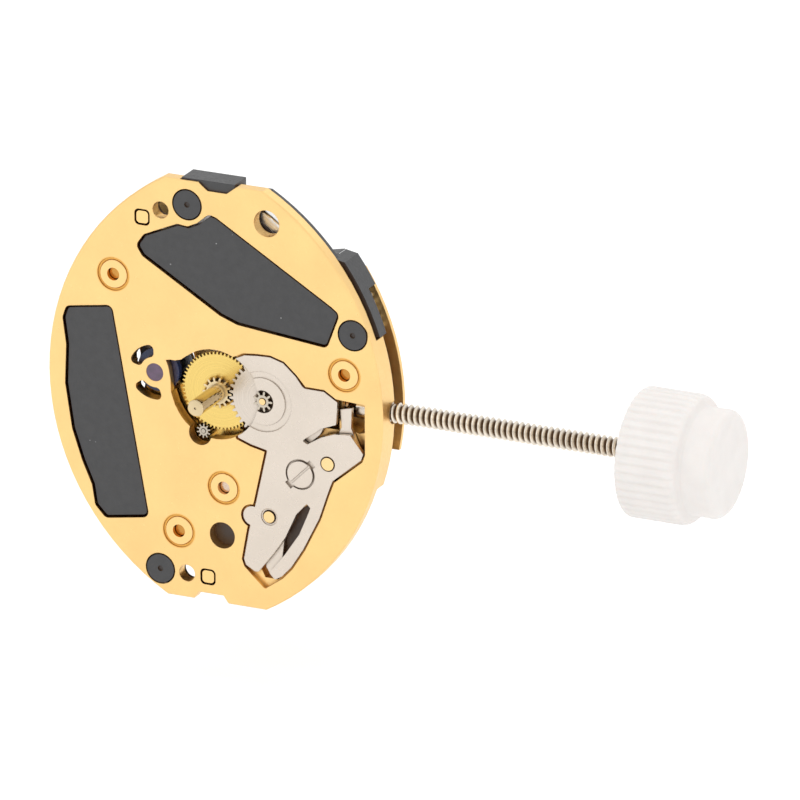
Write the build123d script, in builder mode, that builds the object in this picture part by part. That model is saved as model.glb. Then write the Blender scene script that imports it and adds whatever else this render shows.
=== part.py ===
from build123d import *
import os
from math import atan2, cos, degrees, dist, radians, sin

# Quartz watch movement, standing on edge: +X runs to the stem (3 o'clock), +Z to 12 o'clock,
# -Y out of the dial face. The origin is on the hand arbor at the dial face. Millimetres.
# A depth is a distance behind the dial face; a negative depth stands in front of it.

os.makedirs("parts", exist_ok=True)

# Oval plate: two wide arcs closed by a flat above and below
half_height = 8.90
half_width = 7.42
flat_half = 2.20
arc_radius = ((half_width - flat_half)**2 + half_height**2) / (2 * (half_width - flat_half))
plate_web = 0.50
rim_chamfer = 0.05
overrun = 0.30

# Clearances
running_gap = 0.02
side_gap = 0.05
moulding_gap = 0.06
air_gap = 0.10

# Depths of the layers
block_back = 1.12
frame_web_back = 0.72
stator_front = 1.12
stator_thick = 0.18
train_bridge_front = 1.50
train_bridge_thick = 0.22
back_plate_front = 2.02
back_plate_thick = 0.18
strap_thick = 0.12
stem_depth = 1.10

# Wheel train: tooth counts and thicknesses
drive_teeth = 60
third_leaves = 10
third_teeth = 45
intermediate_leaves = 9
intermediate_teeth = 24
rotor_leaves = 8
cannon_leaves = 14
minute_teeth = 36
minute_leaves = 9
minute_post_radius = 0.135
third_post_radius = 0.09
pivot_radius = 0.08
wheel_thick = 0.12
wheel_gap = 0.06
wheel_seat_radius = 0.20

# Hand arbor
pipe_radius = 0.35
pipe_front = 1.80
arbor_radius = 0.18
arbor_pivot_radius = 0.10
pipe_edge = 0.04

# Screw bushes and the back screws that enter them
bush_radius = 0.60
bush_groove_radius = 0.70
bush_groove_depth = 0.06
bush_bore = 0.27
screw_head_radius = 0.62
screw_head_thick = 0.18
screw_slot_width = 0.16
screw_slot_depth = 0.08
screw_tip_depth = 0.22

# Battery
battery_radius = 3.40
battery_thick = 1.65
battery_cap_radius = 2.80
battery_crimp_height = 0.14
battery_gasket_width = 0.14
battery_room = 0.10

# Coil and stator
coil_tilt = 10.4
winding_length = 5.40
winding_radius = 0.62
cheek_radius = 0.66
cheek_thick = 0.20
core_width = 0.56
core_thick = 0.20
core_lug_width = 1.20
core_lug_length = 1.30
magnet_radius = 0.48
stator_hole_radius = 0.62
stator_notch_radius = 0.12
rotor_flange_radius = 0.92
rotor_room_front = 0.30
rotor_flange_proud = 0.12

# Setting works
bridge_front = 0.02
bridge_thick = 0.18
lever_thick = 0.18
lever_floor_gap = 0.04
lever_post_radius = 0.27
yoke_post_radius = 0.24
post_collar_radius = 0.36
bridge_screw_head = 0.56
bridge_screw_shank = 0.28
bridge_screw_floor = 0.07

# Stem, sliding pinion and setting knob, measured along +X from the hand arbor
stem_start = 1.95
pilot_radius = 0.19
pilot_end = 3.30
square_side = 0.46
shaft_radius = 0.42
groove_width = 0.32
groove_radius = 0.26
thread_start = 7.30
thread_radius = 0.425
knob_start = 18.10
knob_bore_depth = 2.20
knob_length = 2.70
knob_radius = 2.63
knob_flutes = 40
flute_radius = 0.13
flute_sides = 6
knob_chamfer = 0.28
knob_boss_length = 1.15
knob_boss_radius = 2.19
knob_boss_edge = 0.25
slider_crown_length = 0.26
slider_groove_length = 0.62
slider_rear_length = 0.20
slider_travel = 0.24
slider_crown_radius = 0.76
slider_groove_radius = 0.46
slider_rear_radius = 0.62
slider_teeth = 16
slider_tooth_depth = 0.14
finger_width = 0.22

# Places given as shares of the plate's half height: across, then up
third_place_shares = (-0.0753, -0.1978)
intermediate_place_shares = (-0.2526, -0.1127)
rotor_place_shares = (-0.3000, 0.0607)
minute_place_shares = (0.2360, 0)
coil_place_shares = (-0.5539, -0.1461)
battery_place_shares = (0.0393, 0.5393)
quartz_place_shares = (0.5573, 0.5281)
setting_pivot_shares = (0.5584, -0.2494)
yoke_pivot_shares = (0.2652, -0.5483)
bridge_screw_shares = (0.4213, -0.3202)
lever_finger_shares = (0.6427, 0.0056)
yoke_finger_shares = (0.5281, -0.0022)
bush_place_shares = ((-0.503, 0.500), (0.644, 0.188), (0.040, -0.443), (-0.187, -0.685))
plug_place_shares = ((-0.130, 0.884), (0.687, 0.383), (-0.282, -0.881))
foot_hole_shares = ((-0.262, 0.840), (-0.148, -0.883))
foot_post_shares = ((-0.355, 0.793), (-0.043, -0.885))
open_hole_shares = (0.265, 0.851)
dark_hole_shares = (0.031, -0.673)
train_foot_shares = ((-0.449, 0.213), (0.152, -0.309))

# Outlines given as shares of the plate's half height
left_window_shares = (
    (-0.762, 0.258), (-0.745, 0.129), (-0.753, -0.056), (-0.721, -0.271), (-0.672, -0.418),
    (-0.624, -0.528), (-0.609, -0.624), (-0.556, -0.680), (-0.335, -0.643), (-0.511, 0.352),
    (-0.742, 0.315),
)
upper_window_shares = (
    (-0.388, 0.657), (-0.348, 0.713), (-0.180, 0.787), (-0.129, 0.781), (-0.081, 0.804),
    (-0.022, 0.854), (0.015, 0.843), (0.584, 0.502), (0.624, 0.472), (0.560, 0.303),
    (0.115, 0.348), (0.029, 0.379), (-0.357, 0.608),
)
cavity_shares = (
    (-0.244, 0.128), (-0.231, 0.094), (-0.221, 0.036), (-0.220, -0.020), (-0.200, -0.081),
    (-0.159, -0.139), (-0.122, -0.173), (0.000, -0.197), (0.000, 0.197), (-0.139, 0.164),
    (-0.168, 0.141), (-0.198, 0.133), (-0.223, 0.133),
)
bridge_shares = (
    (0.100, 0.185), (0.147, 0.208), (0.212, 0.215), (0.276, 0.217), (0.342, 0.198),
    (0.402, 0.145), (0.435, 0.102), (0.447, 0.094), (0.542, 0.093), (0.558, 0.083),
    (0.608, 0.053), (0.601, -0.056), (0.528, -0.085), (0.433, -0.156), (0.457, -0.171),
    (0.527, -0.127), (0.592, -0.102), (0.671, -0.096), (0.735, -0.176), (0.724, -0.207),
    (0.583, -0.327), (0.571, -0.355), (0.555, -0.400), (0.515, -0.517), (0.434, -0.679),
    (0.373, -0.775), (0.326, -0.826), (0.291, -0.846), (0.263, -0.817), (0.344, -0.715),
    (0.415, -0.609), (0.461, -0.501), (0.471, -0.474), (0.454, -0.456), (0.400, -0.516),
    (0.345, -0.635), (0.284, -0.724), (0.211, -0.820), (0.193, -0.822), (0.148, -0.797),
    (0.138, -0.769), (0.165, -0.625), (0.201, -0.484), (0.258, -0.230), (0.179, -0.213),
    (0.113, -0.190),
)
bridge_pocket_shares = (
    (0.100, 0.185), (0.147, 0.208), (0.212, 0.215), (0.276, 0.217), (0.342, 0.198),
    (0.402, 0.145), (0.447, 0.094), (0.542, 0.093), (0.608, 0.053), (0.608, -0.060),
    (0.680, -0.100), (0.735, -0.176), (0.724, -0.207), (0.583, -0.327), (0.555, -0.400),
    (0.515, -0.517), (0.434, -0.679), (0.373, -0.775), (0.326, -0.826), (0.243, -0.885),
    (0.193, -0.840), (0.148, -0.797), (0.138, -0.769), (0.165, -0.625), (0.201, -0.484),
    (0.258, -0.230), (0.179, -0.213), (0.113, -0.190),
)
bridge_bump_shares = (0.182, -0.556)
setting_lever_shares = (
    (0.611, 0.012), (0.668, 0.026), (0.664, -0.070), (0.700, -0.155), (0.680, -0.200),
    (0.590, -0.290), (0.535, -0.300), (0.508, -0.262), (0.536, -0.205), (0.600, -0.110),
    (0.618, -0.070),
)
yoke_shares = (
    (0.516, 0.018), (0.546, 0.018), (0.546, -0.055), (0.510, -0.125), (0.460, -0.172),
    (0.385, -0.230), (0.372, -0.330), (0.340, -0.450), (0.318, -0.560), (0.330, -0.640),
    (0.312, -0.800), (0.262, -0.840), (0.236, -0.800), (0.246, -0.640), (0.222, -0.560),
    (0.250, -0.450), (0.298, -0.330), (0.318, -0.236), (0.400, -0.160), (0.436, -0.112),
    (0.490, -0.085), (0.514, -0.040),
)
lever_room_shares = (
    (0.470, 0.075), (0.745, 0.060), (0.745, -0.172), (0.730, -0.214), (0.585, -0.335),
    (0.500, -0.330), (0.440, -0.270), (0.410, -0.260), (0.395, -0.360), (0.370, -0.480),
    (0.350, -0.640), (0.350, -0.790), (0.300, -0.850), (0.235, -0.850), (0.205, -0.790),
    (0.215, -0.640), (0.195, -0.560), (0.230, -0.430), (0.272, -0.320), (0.290, -0.225),
    (0.360, -0.150), (0.430, -0.070),
)
stem_window_shares = ((0.611, 0.056), (0.745, 0.059), (0.745, -0.087), (0.690, -0.100), (0.611, -0.080))
spring_slot_shares = (
    (0.465, -0.455), (0.482, -0.475), (0.470, -0.505), (0.425, -0.612), (0.352, -0.722),
    (0.300, -0.790), (0.262, -0.760), (0.284, -0.724), (0.335, -0.635), (0.390, -0.516),
)
stator_upper_shares = (
    (-0.702, 0.242), (-0.534, 0.222), (-0.404, 0.101), (-0.247, 0.157), (-0.371, 0.292),
    (-0.551, 0.375), (-0.685, 0.375),
)
stator_lower_shares = (
    (-0.399, 0.000), (-0.430, -0.140), (-0.405, -0.400), (-0.393, -0.483), (-0.562, -0.515),
    (-0.551, -0.640), (-0.371, -0.663), (-0.303, -0.472), (-0.328, -0.170), (-0.258, -0.034),
)
board_shares = (
    (-0.180, -0.560), (-0.030, -0.405), (0.160, -0.405), (0.500, -0.405), (0.602, -0.290),
    (0.602, 0.350), (0.655, 0.350), (0.655, 0.262), (0.758, 0.250), (0.775, 0.060),
    (0.764, -0.200), (0.672, -0.430), (0.480, -0.640), (0.355, -0.750), (0.200, -0.815),
    (-0.215, -0.815), (-0.290, -0.720),
)
lower_body_shares = (
    (-0.250, -0.560), (-0.050, -0.400), (0.170, -0.400), (0.240, -0.520), (0.420, -0.520),
    (0.400, -0.650), (0.240, -0.830), (-0.250, -0.830), (-0.320, -0.720),
)
train_room_shares = (
    (-0.430, 0.190), (-0.200, 0.190), (0.070, 0.250), (0.260, 0.362), (0.900, 0.362),
    (0.900, -0.420), (0.260, -0.420), (0.090, -0.370), (-0.200, -0.400), (-0.420, -0.270),
)
upper_block_shares = (
    (0.360, 0.362), (0.900, 0.362), (0.900, 0.640), (0.545, 0.705), (0.330, 0.660),
)
block_step_shares = ((0.500, 0.240), (0.950, 0.240), (0.950, 0.560), (0.600, 0.560))
block_tail_shares = ((0.665, 0.285), (0.900, 0.245), (0.900, 0.362), (0.640, 0.362))
contact_strip_shares = ((-0.060, 0.500), (-0.060, 0.570), (0.490, 0.478), (0.490, 0.398))
comb_shares = (
    (0.360, 0.470), (0.560, 0.600), (0.680, 0.510), (0.740, 0.330), (0.600, 0.365), (0.450, 0.375),
)
strap_half_width = 0.55
contact_thick = 0.07
contact_riser_shares = (0.460, 0.435)
contact_riser_radius = 0.16


# Outlines of wheels and pinions. A flank is a list of places up one side of a tooth: height above
# the pitch circle as a share of the module, then half thickness as a share of the pitch.
wheel_flank_shares = ((-1.20, 0.270), (0.00, 0.215), (0.85, 0.085))
leaf_flank_shares = ((-1.25, 0.190), (0.00, 0.190), (0.75, 0.075))


def dial_plane(depth):
    """Drawing plane at a depth behind the dial face, seen from the dial side."""
    return Plane.XZ.offset(-depth)


def stem_plane(distance):
    """Drawing plane square to the stem, centred on it, at a distance from the hand arbor."""
    return Plane(origin=(distance, stem_depth, 0), x_dir=(0, 1, 0), z_dir=(1, 0, 0))


def placed(shares):
    """One place in millimetres from its shares of the plate's half height."""
    across, up = shares
    return (across * half_height, up * half_height)


def sized(table):
    """Places in millimetres from a table of shares."""
    return [placed(shares) for shares in table]


def discs(places, radius, front, back, mode=Mode.ADD):
    """Round slabs between two depths, one at each place."""
    with BuildSketch(dial_plane(back)) as outline:
        with Locations(*places):
            Circle(radius)
    extrude(outline.sketch, amount=back - front, mode=mode)


def slab(points, front, back, corner, mode=Mode.ADD):
    """Slab between two depths with a corner-rounded outline."""
    with BuildSketch(dial_plane(back)) as outline:
        with BuildLine():
            Polyline(*points, close=True)
        make_face()
        if corner:
            fillet(outline.vertices(), corner)
    extrude(outline.sketch, amount=back - front, mode=mode)


def oval(inset):
    """The plate's oval, drawn in the sketch that is open."""
    arc_offset = arc_radius - half_width
    with Locations((arc_offset, 0)):
        Circle(arc_radius - inset)
    with Locations((-arc_offset, 0)):
        Circle(arc_radius - inset, mode=Mode.INTERSECT)
    Rectangle(2 * arc_radius, 2 * (half_height - inset), mode=Mode.INTERSECT)


def tooth_points(teeth, pitch_radius, flank, phase):
    """Outline of a toothed wheel with one tooth centred at the phase angle, in degrees."""
    module = 2 * pitch_radius / teeth
    points = []
    for tooth in range(teeth):
        centre = phase + 360 * tooth / teeth
        rising = [(height, -half) for height, half in flank]
        falling = [(height, half) for height, half in reversed(flank)]
        for height, half in rising + falling:
            radius = pitch_radius + height * module
            angle = radians(centre + 360 * half / teeth)
            points.append((radius * cos(angle), radius * sin(angle)))
    return points


def toothed(place, teeth, pitch_radius, flank, phase, front, back):
    """Toothed slab of a wheel or pinion between two depths."""
    rim = [(place[0] + x, place[1] + z) for x, z in tooth_points(teeth, pitch_radius, flank, phase)]
    with BuildSketch(dial_plane(back)) as outline:
        with BuildLine():
            Polyline(*rim, close=True)
        make_face()
    extrude(outline.sketch, amount=back - front)


def bearing_of(place, other):
    """Direction in degrees from one wheel's centre to another's."""
    return degrees(atan2(other[1] - place[1], other[0] - place[0]))


def meshed_phase(place, teeth, phase, other, other_teeth):
    """Phase that puts the other wheel's gap on this wheel's nearest tooth."""
    heading = bearing_of(place, other)
    turned = phase - heading
    return heading + 180 + 180 / other_teeth - turned * teeth / other_teeth


# Centres and pitch circles of the train
arbor_place = (0, 0)
third_place = placed(third_place_shares)
intermediate_place = placed(intermediate_place_shares)
rotor_place = placed(rotor_place_shares)
minute_place = placed(minute_place_shares)
arbor_to_third = dist(arbor_place, third_place)
third_to_intermediate = dist(third_place, intermediate_place)
intermediate_to_rotor = dist(intermediate_place, rotor_place)
arbor_to_minute = dist(arbor_place, minute_place)
drive_pitch = arbor_to_third * drive_teeth / (drive_teeth + third_leaves)
third_pinion_pitch = arbor_to_third - drive_pitch
third_wheel_pitch = third_to_intermediate * third_teeth / (third_teeth + intermediate_leaves)
intermediate_pinion_pitch = third_to_intermediate - third_wheel_pitch
intermediate_wheel_pitch = intermediate_to_rotor * intermediate_teeth / (intermediate_teeth + rotor_leaves)
rotor_pinion_pitch = intermediate_to_rotor - intermediate_wheel_pitch
minute_wheel_pitch = arbor_to_minute * minute_teeth / (minute_teeth + cannon_leaves)
cannon_pitch = arbor_to_minute - minute_wheel_pitch
hour_wheel_teeth = 42
minute_pinion_pitch = arbor_to_minute * minute_leaves / (minute_leaves + hour_wheel_teeth)

# Phases, from the driving wheel outwards
drive_phase = bearing_of(arbor_place, third_place)
third_pinion_phase = meshed_phase(arbor_place, drive_teeth, drive_phase, third_place, third_leaves)
third_wheel_phase = bearing_of(third_place, intermediate_place)
intermediate_pinion_phase = meshed_phase(
    third_place, third_teeth, third_wheel_phase, intermediate_place, intermediate_leaves)
intermediate_wheel_phase = bearing_of(intermediate_place, rotor_place)
rotor_pinion_phase = meshed_phase(
    intermediate_place, intermediate_teeth, intermediate_wheel_phase, rotor_place, rotor_leaves)
cannon_phase = 0
minute_wheel_phase = meshed_phase(arbor_place, cannon_leaves, cannon_phase, minute_place, minute_teeth)

# Depths of the train, from the setting bridge backwards
bridge_seat = bridge_front + bridge_thick
minute_wheel_front = bridge_seat + side_gap
minute_wheel_back = minute_wheel_front + wheel_thick
minute_floor = minute_wheel_back + lever_floor_gap
cannon_front = minute_wheel_front - side_gap
drive_front = minute_wheel_back + wheel_gap
drive_back = drive_front + wheel_thick
third_pinion_front = drive_front - wheel_thick
rotor_flange_front = rotor_room_front + side_gap
rotor_flange_back = plate_web + rotor_flange_proud
intermediate_wheel_front = rotor_flange_back + side_gap
intermediate_wheel_back = intermediate_wheel_front + wheel_thick
third_wheel_front = intermediate_wheel_back + wheel_gap
third_wheel_back = third_wheel_front + wheel_thick
stator_back = stator_front + stator_thick
magnet_front = stator_front - air_gap
magnet_back = stator_back + air_gap
train_bridge_back = train_bridge_front + train_bridge_thick
back_plate_back = back_plate_front + back_plate_thick
strap_back = back_plate_back + strap_thick
lever_front = bridge_seat + lever_floor_gap
lever_back = lever_front + lever_thick
lever_floor = lever_back + lever_floor_gap
battery_front = back_plate_back - battery_thick

# Places worked out from the shares
bush_places = sized(bush_place_shares)
plug_places = sized(plug_place_shares)
foot_holes = sized(foot_hole_shares)
foot_posts_at = sized(foot_post_shares)
train_feet = sized(train_foot_shares)
battery_place = placed(battery_place_shares)
quartz_place = placed(quartz_place_shares)
setting_pivot = placed(setting_pivot_shares)
yoke_pivot = placed(yoke_pivot_shares)
bridge_screw_place = placed(bridge_screw_shares)
lever_finger = placed(lever_finger_shares)
yoke_finger = placed(yoke_finger_shares)
coil_x, coil_z = placed(coil_place_shares)
coil_along = (-sin(radians(coil_tilt)), cos(radians(coil_tilt)))
lug_offset = (winding_length + core_lug_length) / 2 + cheek_thick + side_gap
coil_lugs = [
    (coil_x + side * lug_offset * coil_along[0], coil_z + side * lug_offset * coil_along[1])
    for side in (1, -1)
]
core_depth = stator_back + core_thick / 2

# Places along the stem, from the fingers that sit in its two grooves
slider_groove_end = yoke_finger[0] + finger_width / 2 + side_gap
slider_groove_start = slider_groove_end - slider_groove_length
slider_start = slider_groove_start - slider_crown_length
slider_end = slider_groove_end + slider_rear_length
square_end = slider_end + slider_travel
groove_start = lever_finger[0] - groove_width / 2


# Small values of the plate's own features
plug_radius = 0.60
foot_hole_radius = 0.355
foot_post_side = 0.52
open_hole_radius = 0.56
cavity_radius = 1.90
lobe_radius = 0.50
jewel_radius = 0.38
slot_half_width = 0.26
slot_ring_radius = 0.90
slot_corner = 0.20
slot_spread = 36
slot_headings = (129, 251)
foot_pillar_radius = 0.42
foot_screw_radius = 0.20
window_corner = 0.28
window_gap = 0.10
post_corner = 0.20
post_gap = 0.08
block_start = 3.10
block_half_height = 3.15
pilot_block_start = 2.45
pilot_block_half = 0.48
pad_radius = 0.62
minute_pad_back = 0.85
notch_depth = 0.33
top_notch_start = -0.66
top_notch_end = 1.02
top_notch_slope = 0.42
bottom_notch_start = -1.02
bottom_notch_end = 0.54
bottom_notch_slope = 0.23
tab_start = -1.42
tab_end = 0.92
tab_root = 0.45
tab_top = 0.07
tab_front = 0.10
tab_back = 1.15
slider_room = 0.86
bridge_pocket_gap = 0.09

# Main plate: gilt brass, with the openings of the dial side and the stem block behind
with BuildPart() as main_plate:
    with BuildSketch(dial_plane(plate_web)):
        oval(0)
    extrude(amount=plate_web)
    chamfer(main_plate.faces().sort_by(Axis.Y)[0].edges(), rim_chamfer)
    with BuildSketch(dial_plane(block_back)):
        oval(0)
        with Locations((block_start + half_width, 0)):
            Rectangle(2 * half_width, 2 * block_half_height, mode=Mode.INTERSECT)
    extrude(amount=block_back - plate_web)
    with BuildSketch(dial_plane(stem_depth + pilot_block_half)):
        with Locations(((pilot_block_start + block_start) / 2, 0)):
            Rectangle(block_start - pilot_block_start, 2 * pilot_block_half)
    extrude(amount=stem_depth + pilot_block_half - plate_web)
    discs([minute_place], pad_radius, plate_web, minute_pad_back)
    discs([bridge_screw_place, yoke_pivot], pad_radius, plate_web, block_back)
    discs(train_feet, foot_pillar_radius, plate_web, train_bridge_front)
    slab(sized(left_window_shares), -overrun, plate_web + overrun, window_corner, Mode.SUBTRACT)
    slab(sized(upper_window_shares), -overrun, plate_web + overrun, window_corner, Mode.SUBTRACT)
    discs(plug_places, plug_radius + moulding_gap, -overrun, plate_web + overrun, Mode.SUBTRACT)
    discs(bush_places, bush_radius, -overrun, block_back + overrun, Mode.SUBTRACT)
    discs(bush_places, bush_groove_radius, -overrun, bush_groove_depth, Mode.SUBTRACT)
    discs(foot_holes, foot_hole_radius, -overrun, plate_web + overrun, Mode.SUBTRACT)
    discs(sized([open_hole_shares, dark_hole_shares]), open_hole_radius, -overrun,
          plate_web + overrun, Mode.SUBTRACT)
    discs([arbor_place], cavity_radius, -overrun, plate_web + overrun, Mode.SUBTRACT)
    discs([third_place], lobe_radius, -overrun, plate_web + overrun, Mode.SUBTRACT)
    slab(sized(cavity_shares), -overrun, plate_web + overrun, 0, Mode.SUBTRACT)
    discs([rotor_place], jewel_radius, -overrun, plate_web + overrun, Mode.SUBTRACT)
    discs([rotor_place], rotor_flange_radius + air_gap, rotor_room_front, plate_web + overrun, Mode.SUBTRACT)
    with BuildSketch(dial_plane(plate_web + overrun)) as slots:
        for heading in slot_headings:
            sweep = (heading - slot_spread, 2 * slot_spread)
            with BuildLine():
                outer = CenterArc(rotor_place, slot_ring_radius + slot_half_width, *sweep)
                inner = CenterArc(rotor_place, slot_ring_radius - slot_half_width, *sweep)
                Line(outer @ 0, inner @ 0)
                Line(outer @ 1, inner @ 1)
            make_face()
        fillet(slots.vertices(), slot_corner)
    extrude(amount=plate_web + 2 * overrun, mode=Mode.SUBTRACT)
    discs([intermediate_place], pivot_radius + running_gap, plate_web / 2, plate_web + overrun,
          Mode.SUBTRACT)
    with BuildSketch(dial_plane(bridge_seat)):
        with BuildLine():
            Polyline(*sized(bridge_pocket_shares), close=True)
        make_face()
        with Locations(*sized([bridge_bump_shares])):
            Circle(post_collar_radius + side_gap)
        offset(amount=bridge_pocket_gap, kind=Kind.ARC)
    extrude(amount=bridge_seat + overrun, mode=Mode.SUBTRACT)
    discs([minute_place], minute_wheel_pitch + 2 * air_gap, -overrun, minute_floor, Mode.SUBTRACT)
    slab(sized(lever_room_shares), -overrun + bridge_seat, lever_floor, 0, Mode.SUBTRACT)
    slab(sized(stem_window_shares), -overrun, stem_depth, 0, Mode.SUBTRACT)
    slab(sized(spring_slot_shares), -overrun, plate_web + overrun, 0, Mode.SUBTRACT)
    with BuildSketch(dial_plane(block_back + overrun)):
        with Locations(((block_start + square_end) / 2, 0)):
            Rectangle(square_end - block_start, 2 * slider_room)
    extrude(amount=block_back + overrun - minute_wheel_front, mode=Mode.SUBTRACT)
    with BuildSketch(stem_plane(square_end - overrun)):
        Circle(shaft_radius + side_gap)
    extrude(amount=half_width, mode=Mode.SUBTRACT)
    with BuildSketch(stem_plane(pilot_block_start - overrun)):
        Circle(pilot_radius + running_gap)
    extrude(amount=block_start - pilot_block_start + 2 * overrun, mode=Mode.SUBTRACT)
    discs([minute_place], minute_post_radius, -overrun, minute_pad_back + overrun, Mode.SUBTRACT)
    discs([setting_pivot], lever_post_radius, -overrun, block_back + overrun, Mode.SUBTRACT)
    discs([yoke_pivot], yoke_post_radius, -overrun, block_back + overrun, Mode.SUBTRACT)
    discs([bridge_screw_place], bridge_screw_shank, -overrun, block_back + overrun, Mode.SUBTRACT)
    discs(train_feet, foot_screw_radius, plate_web / 2, train_bridge_front + overrun, Mode.SUBTRACT)
    discs([battery_place], battery_radius + battery_room, plate_web, block_back + overrun, Mode.SUBTRACT)
    for side, start, end, slope in (
            (1, top_notch_start, top_notch_end, top_notch_slope),
            (-1, bottom_notch_start, bottom_notch_end, bottom_notch_slope)):
        mouth = side * (half_height + overrun)
        lip = side * half_height
        floor = side * (half_height - notch_depth)
        notch = [(start, mouth), (start, lip), (start + slope, floor),
                 (end - slope, floor), (end, lip), (end, mouth)]
        slab(notch, -overrun, plate_web + overrun, 0, Mode.SUBTRACT)
    tab_seat = half_height - tab_root
    slab([(tab_start - moulding_gap, half_height + overrun), (tab_start - moulding_gap, tab_seat),
          (tab_end + moulding_gap, tab_seat), (tab_end + moulding_gap, half_height + overrun)],
         tab_front - side_gap, plate_web + overrun, 0, Mode.SUBTRACT)
    with BuildSketch(dial_plane(plate_web + overrun)):
        with Locations(*foot_posts_at):
            RectangleRounded(foot_post_side + 2 * post_gap, foot_post_side + 2 * post_gap, post_corner)
    extrude(amount=plate_web + 2 * overrun, mode=Mode.SUBTRACT)

main_plate.part.label = "main_plate"
export_step(main_plate.part, "parts/main_plate.step")

# Values of the black plastic frame
window_recess = 0.08
plug_dimple_radius = 0.12
plug_dimple_depth = 0.08
band_width = 0.90
band_back = 1.02
band_start = -3.20
upper_block_back = 1.95
block_step_back = 1.32
block_proud = 0.08
band_inset = 0.20
lower_body_back = 1.60
coil_boss_radius = 0.50
coil_screw_radius = 0.20
contact_front = 0.42
quartz_radius = 0.55
quartz_length = 2.80
quartz_tilt = 24.0
quartz_depth = 1.36


def quartz_plane(offset_along):
    """Drawing plane square to the quartz can, at a distance along it from its middle."""
    along = (sin(radians(quartz_tilt)), 0, -cos(radians(quartz_tilt)))
    start = (quartz_place[0] + offset_along * along[0], quartz_depth,
             quartz_place[1] + offset_along * along[2])
    return Plane(origin=start, x_dir=(0, 1, 0), z_dir=along)


# Plastic frame: fills the plate's windows from behind, carries the plugs, tabs and circuit
with BuildPart() as plastic_frame:
    with BuildSketch(dial_plane(frame_web_back)):
        oval(band_inset)
    extrude(amount=frame_web_back - plate_web)
    with BuildSketch(dial_plane(band_back)):
        oval(band_inset)
        with Locations((band_start + arc_radius, half_height)):
            Rectangle(2 * arc_radius, 2 * (half_height - block_half_height - side_gap), mode=Mode.INTERSECT)
    extrude(amount=band_back - frame_web_back)
    with BuildSketch(dial_plane(band_back + overrun)):
        oval(band_width)
    extrude(amount=band_back + overrun - frame_web_back, mode=Mode.SUBTRACT)
    with BuildSketch(dial_plane(upper_block_back)):
        with BuildLine():
            Polyline(*sized(upper_block_shares), close=True)
        make_face()
        with BuildLine():
            Polyline(*sized(block_tail_shares), close=True)
        make_face()
        with BuildSketch(mode=Mode.INTERSECT):
            oval(-block_proud)
    extrude(amount=upper_block_back - block_back - side_gap)
    with BuildSketch(dial_plane(block_back + side_gap)):
        with BuildLine():
            Polyline(*sized(upper_block_shares), close=True)
        make_face()
        with BuildSketch(mode=Mode.INTERSECT):
            oval(-block_proud)
    extrude(amount=block_back + side_gap - frame_web_back)
    slab(sized(block_step_shares), block_step_back, upper_block_back + overrun, 0, Mode.SUBTRACT)
    slab(sized(lower_body_shares), frame_web_back, lower_body_back, 0)
    discs(coil_lugs, coil_boss_radius, frame_web_back, stator_front)
    with BuildSketch(dial_plane(plate_web)) as window_fill:
        with BuildLine():
            Polyline(*sized(left_window_shares), close=True)
        make_face()
        with BuildLine():
            Polyline(*sized(upper_window_shares), close=True)
        make_face()
        offset(amount=-window_gap, kind=Kind.INTERSECTION)
        fillet(window_fill.vertices(), window_corner - window_gap)
    extrude(amount=plate_web - window_recess)
    discs(plug_places, plug_radius, 0, plate_web)
    slab([(tab_start, half_height + tab_top), (tab_start, half_height - tab_root + moulding_gap),
          (tab_end, half_height - tab_root + moulding_gap), (tab_end, half_height + tab_top)],
         tab_front, tab_back, 0)
    discs([battery_place], battery_radius + battery_room, plate_web, upper_block_back + overrun,
          Mode.SUBTRACT)
    slab(sized(train_room_shares), plate_web, band_back + overrun, 0, Mode.SUBTRACT)
    discs(bush_places, bush_radius + side_gap, plate_web, upper_block_back + overrun, Mode.SUBTRACT)
    discs([yoke_pivot], pad_radius + side_gap, plate_web, block_back + side_gap, Mode.SUBTRACT)
    discs(train_feet, foot_pillar_radius + side_gap, plate_web, lower_body_back + overrun, Mode.SUBTRACT)
    discs(foot_holes, foot_hole_radius + side_gap, plate_web - overrun, upper_block_back, Mode.SUBTRACT)
    discs(sized([open_hole_shares]), open_hole_radius + side_gap, plate_web - overrun, upper_block_back,
          Mode.SUBTRACT)
    discs(plug_places, plug_dimple_radius, -overrun, plug_dimple_depth, Mode.SUBTRACT)
    discs(coil_lugs, coil_screw_radius, frame_web_back, stator_front + overrun, Mode.SUBTRACT)
    slab(sized(contact_strip_shares), contact_front, plate_web, 0, Mode.SUBTRACT)
    discs(sized([contact_riser_shares]), contact_riser_radius, contact_front, upper_block_back + overrun,
          Mode.SUBTRACT)
    with BuildSketch(quartz_plane(-quartz_length / 2 - side_gap)):
        Circle(quartz_radius + side_gap)
        with Locations((quartz_radius + overrun, 0)):
            Rectangle(2 * (quartz_radius + overrun), 2 * (quartz_radius + side_gap))
    extrude(amount=quartz_length + 2 * side_gap, mode=Mode.SUBTRACT)

plastic_frame.part.label = "plastic_frame"
export_step(plastic_frame.part, "parts/plastic_frame.step")

# Screw bushes: brass tubes pressed in the plate that carry the back plate
with BuildPart() as screw_bushes:
    discs(bush_places, bush_radius, 0, back_plate_front)
    chamfer(screw_bushes.faces().group_by(Axis.Y)[0].edges(), bush_groove_depth / 2)
    discs(bush_places, bush_bore, -overrun, back_plate_front + overrun, Mode.SUBTRACT)

screw_bushes.part.label = "screw_bushes"
export_step(screw_bushes.part, "parts/screw_bushes.step")

# Square posts beside the dial foot holes
with BuildPart() as foot_posts:
    with BuildSketch(dial_plane(plate_web)):
        with Locations(*foot_posts_at):
            RectangleRounded(foot_post_side, foot_post_side, post_corner - side_gap)
    extrude(amount=plate_web - running_gap)

foot_posts.part.label = "foot_posts"
export_step(foot_posts.part, "parts/foot_posts.step")

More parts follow.
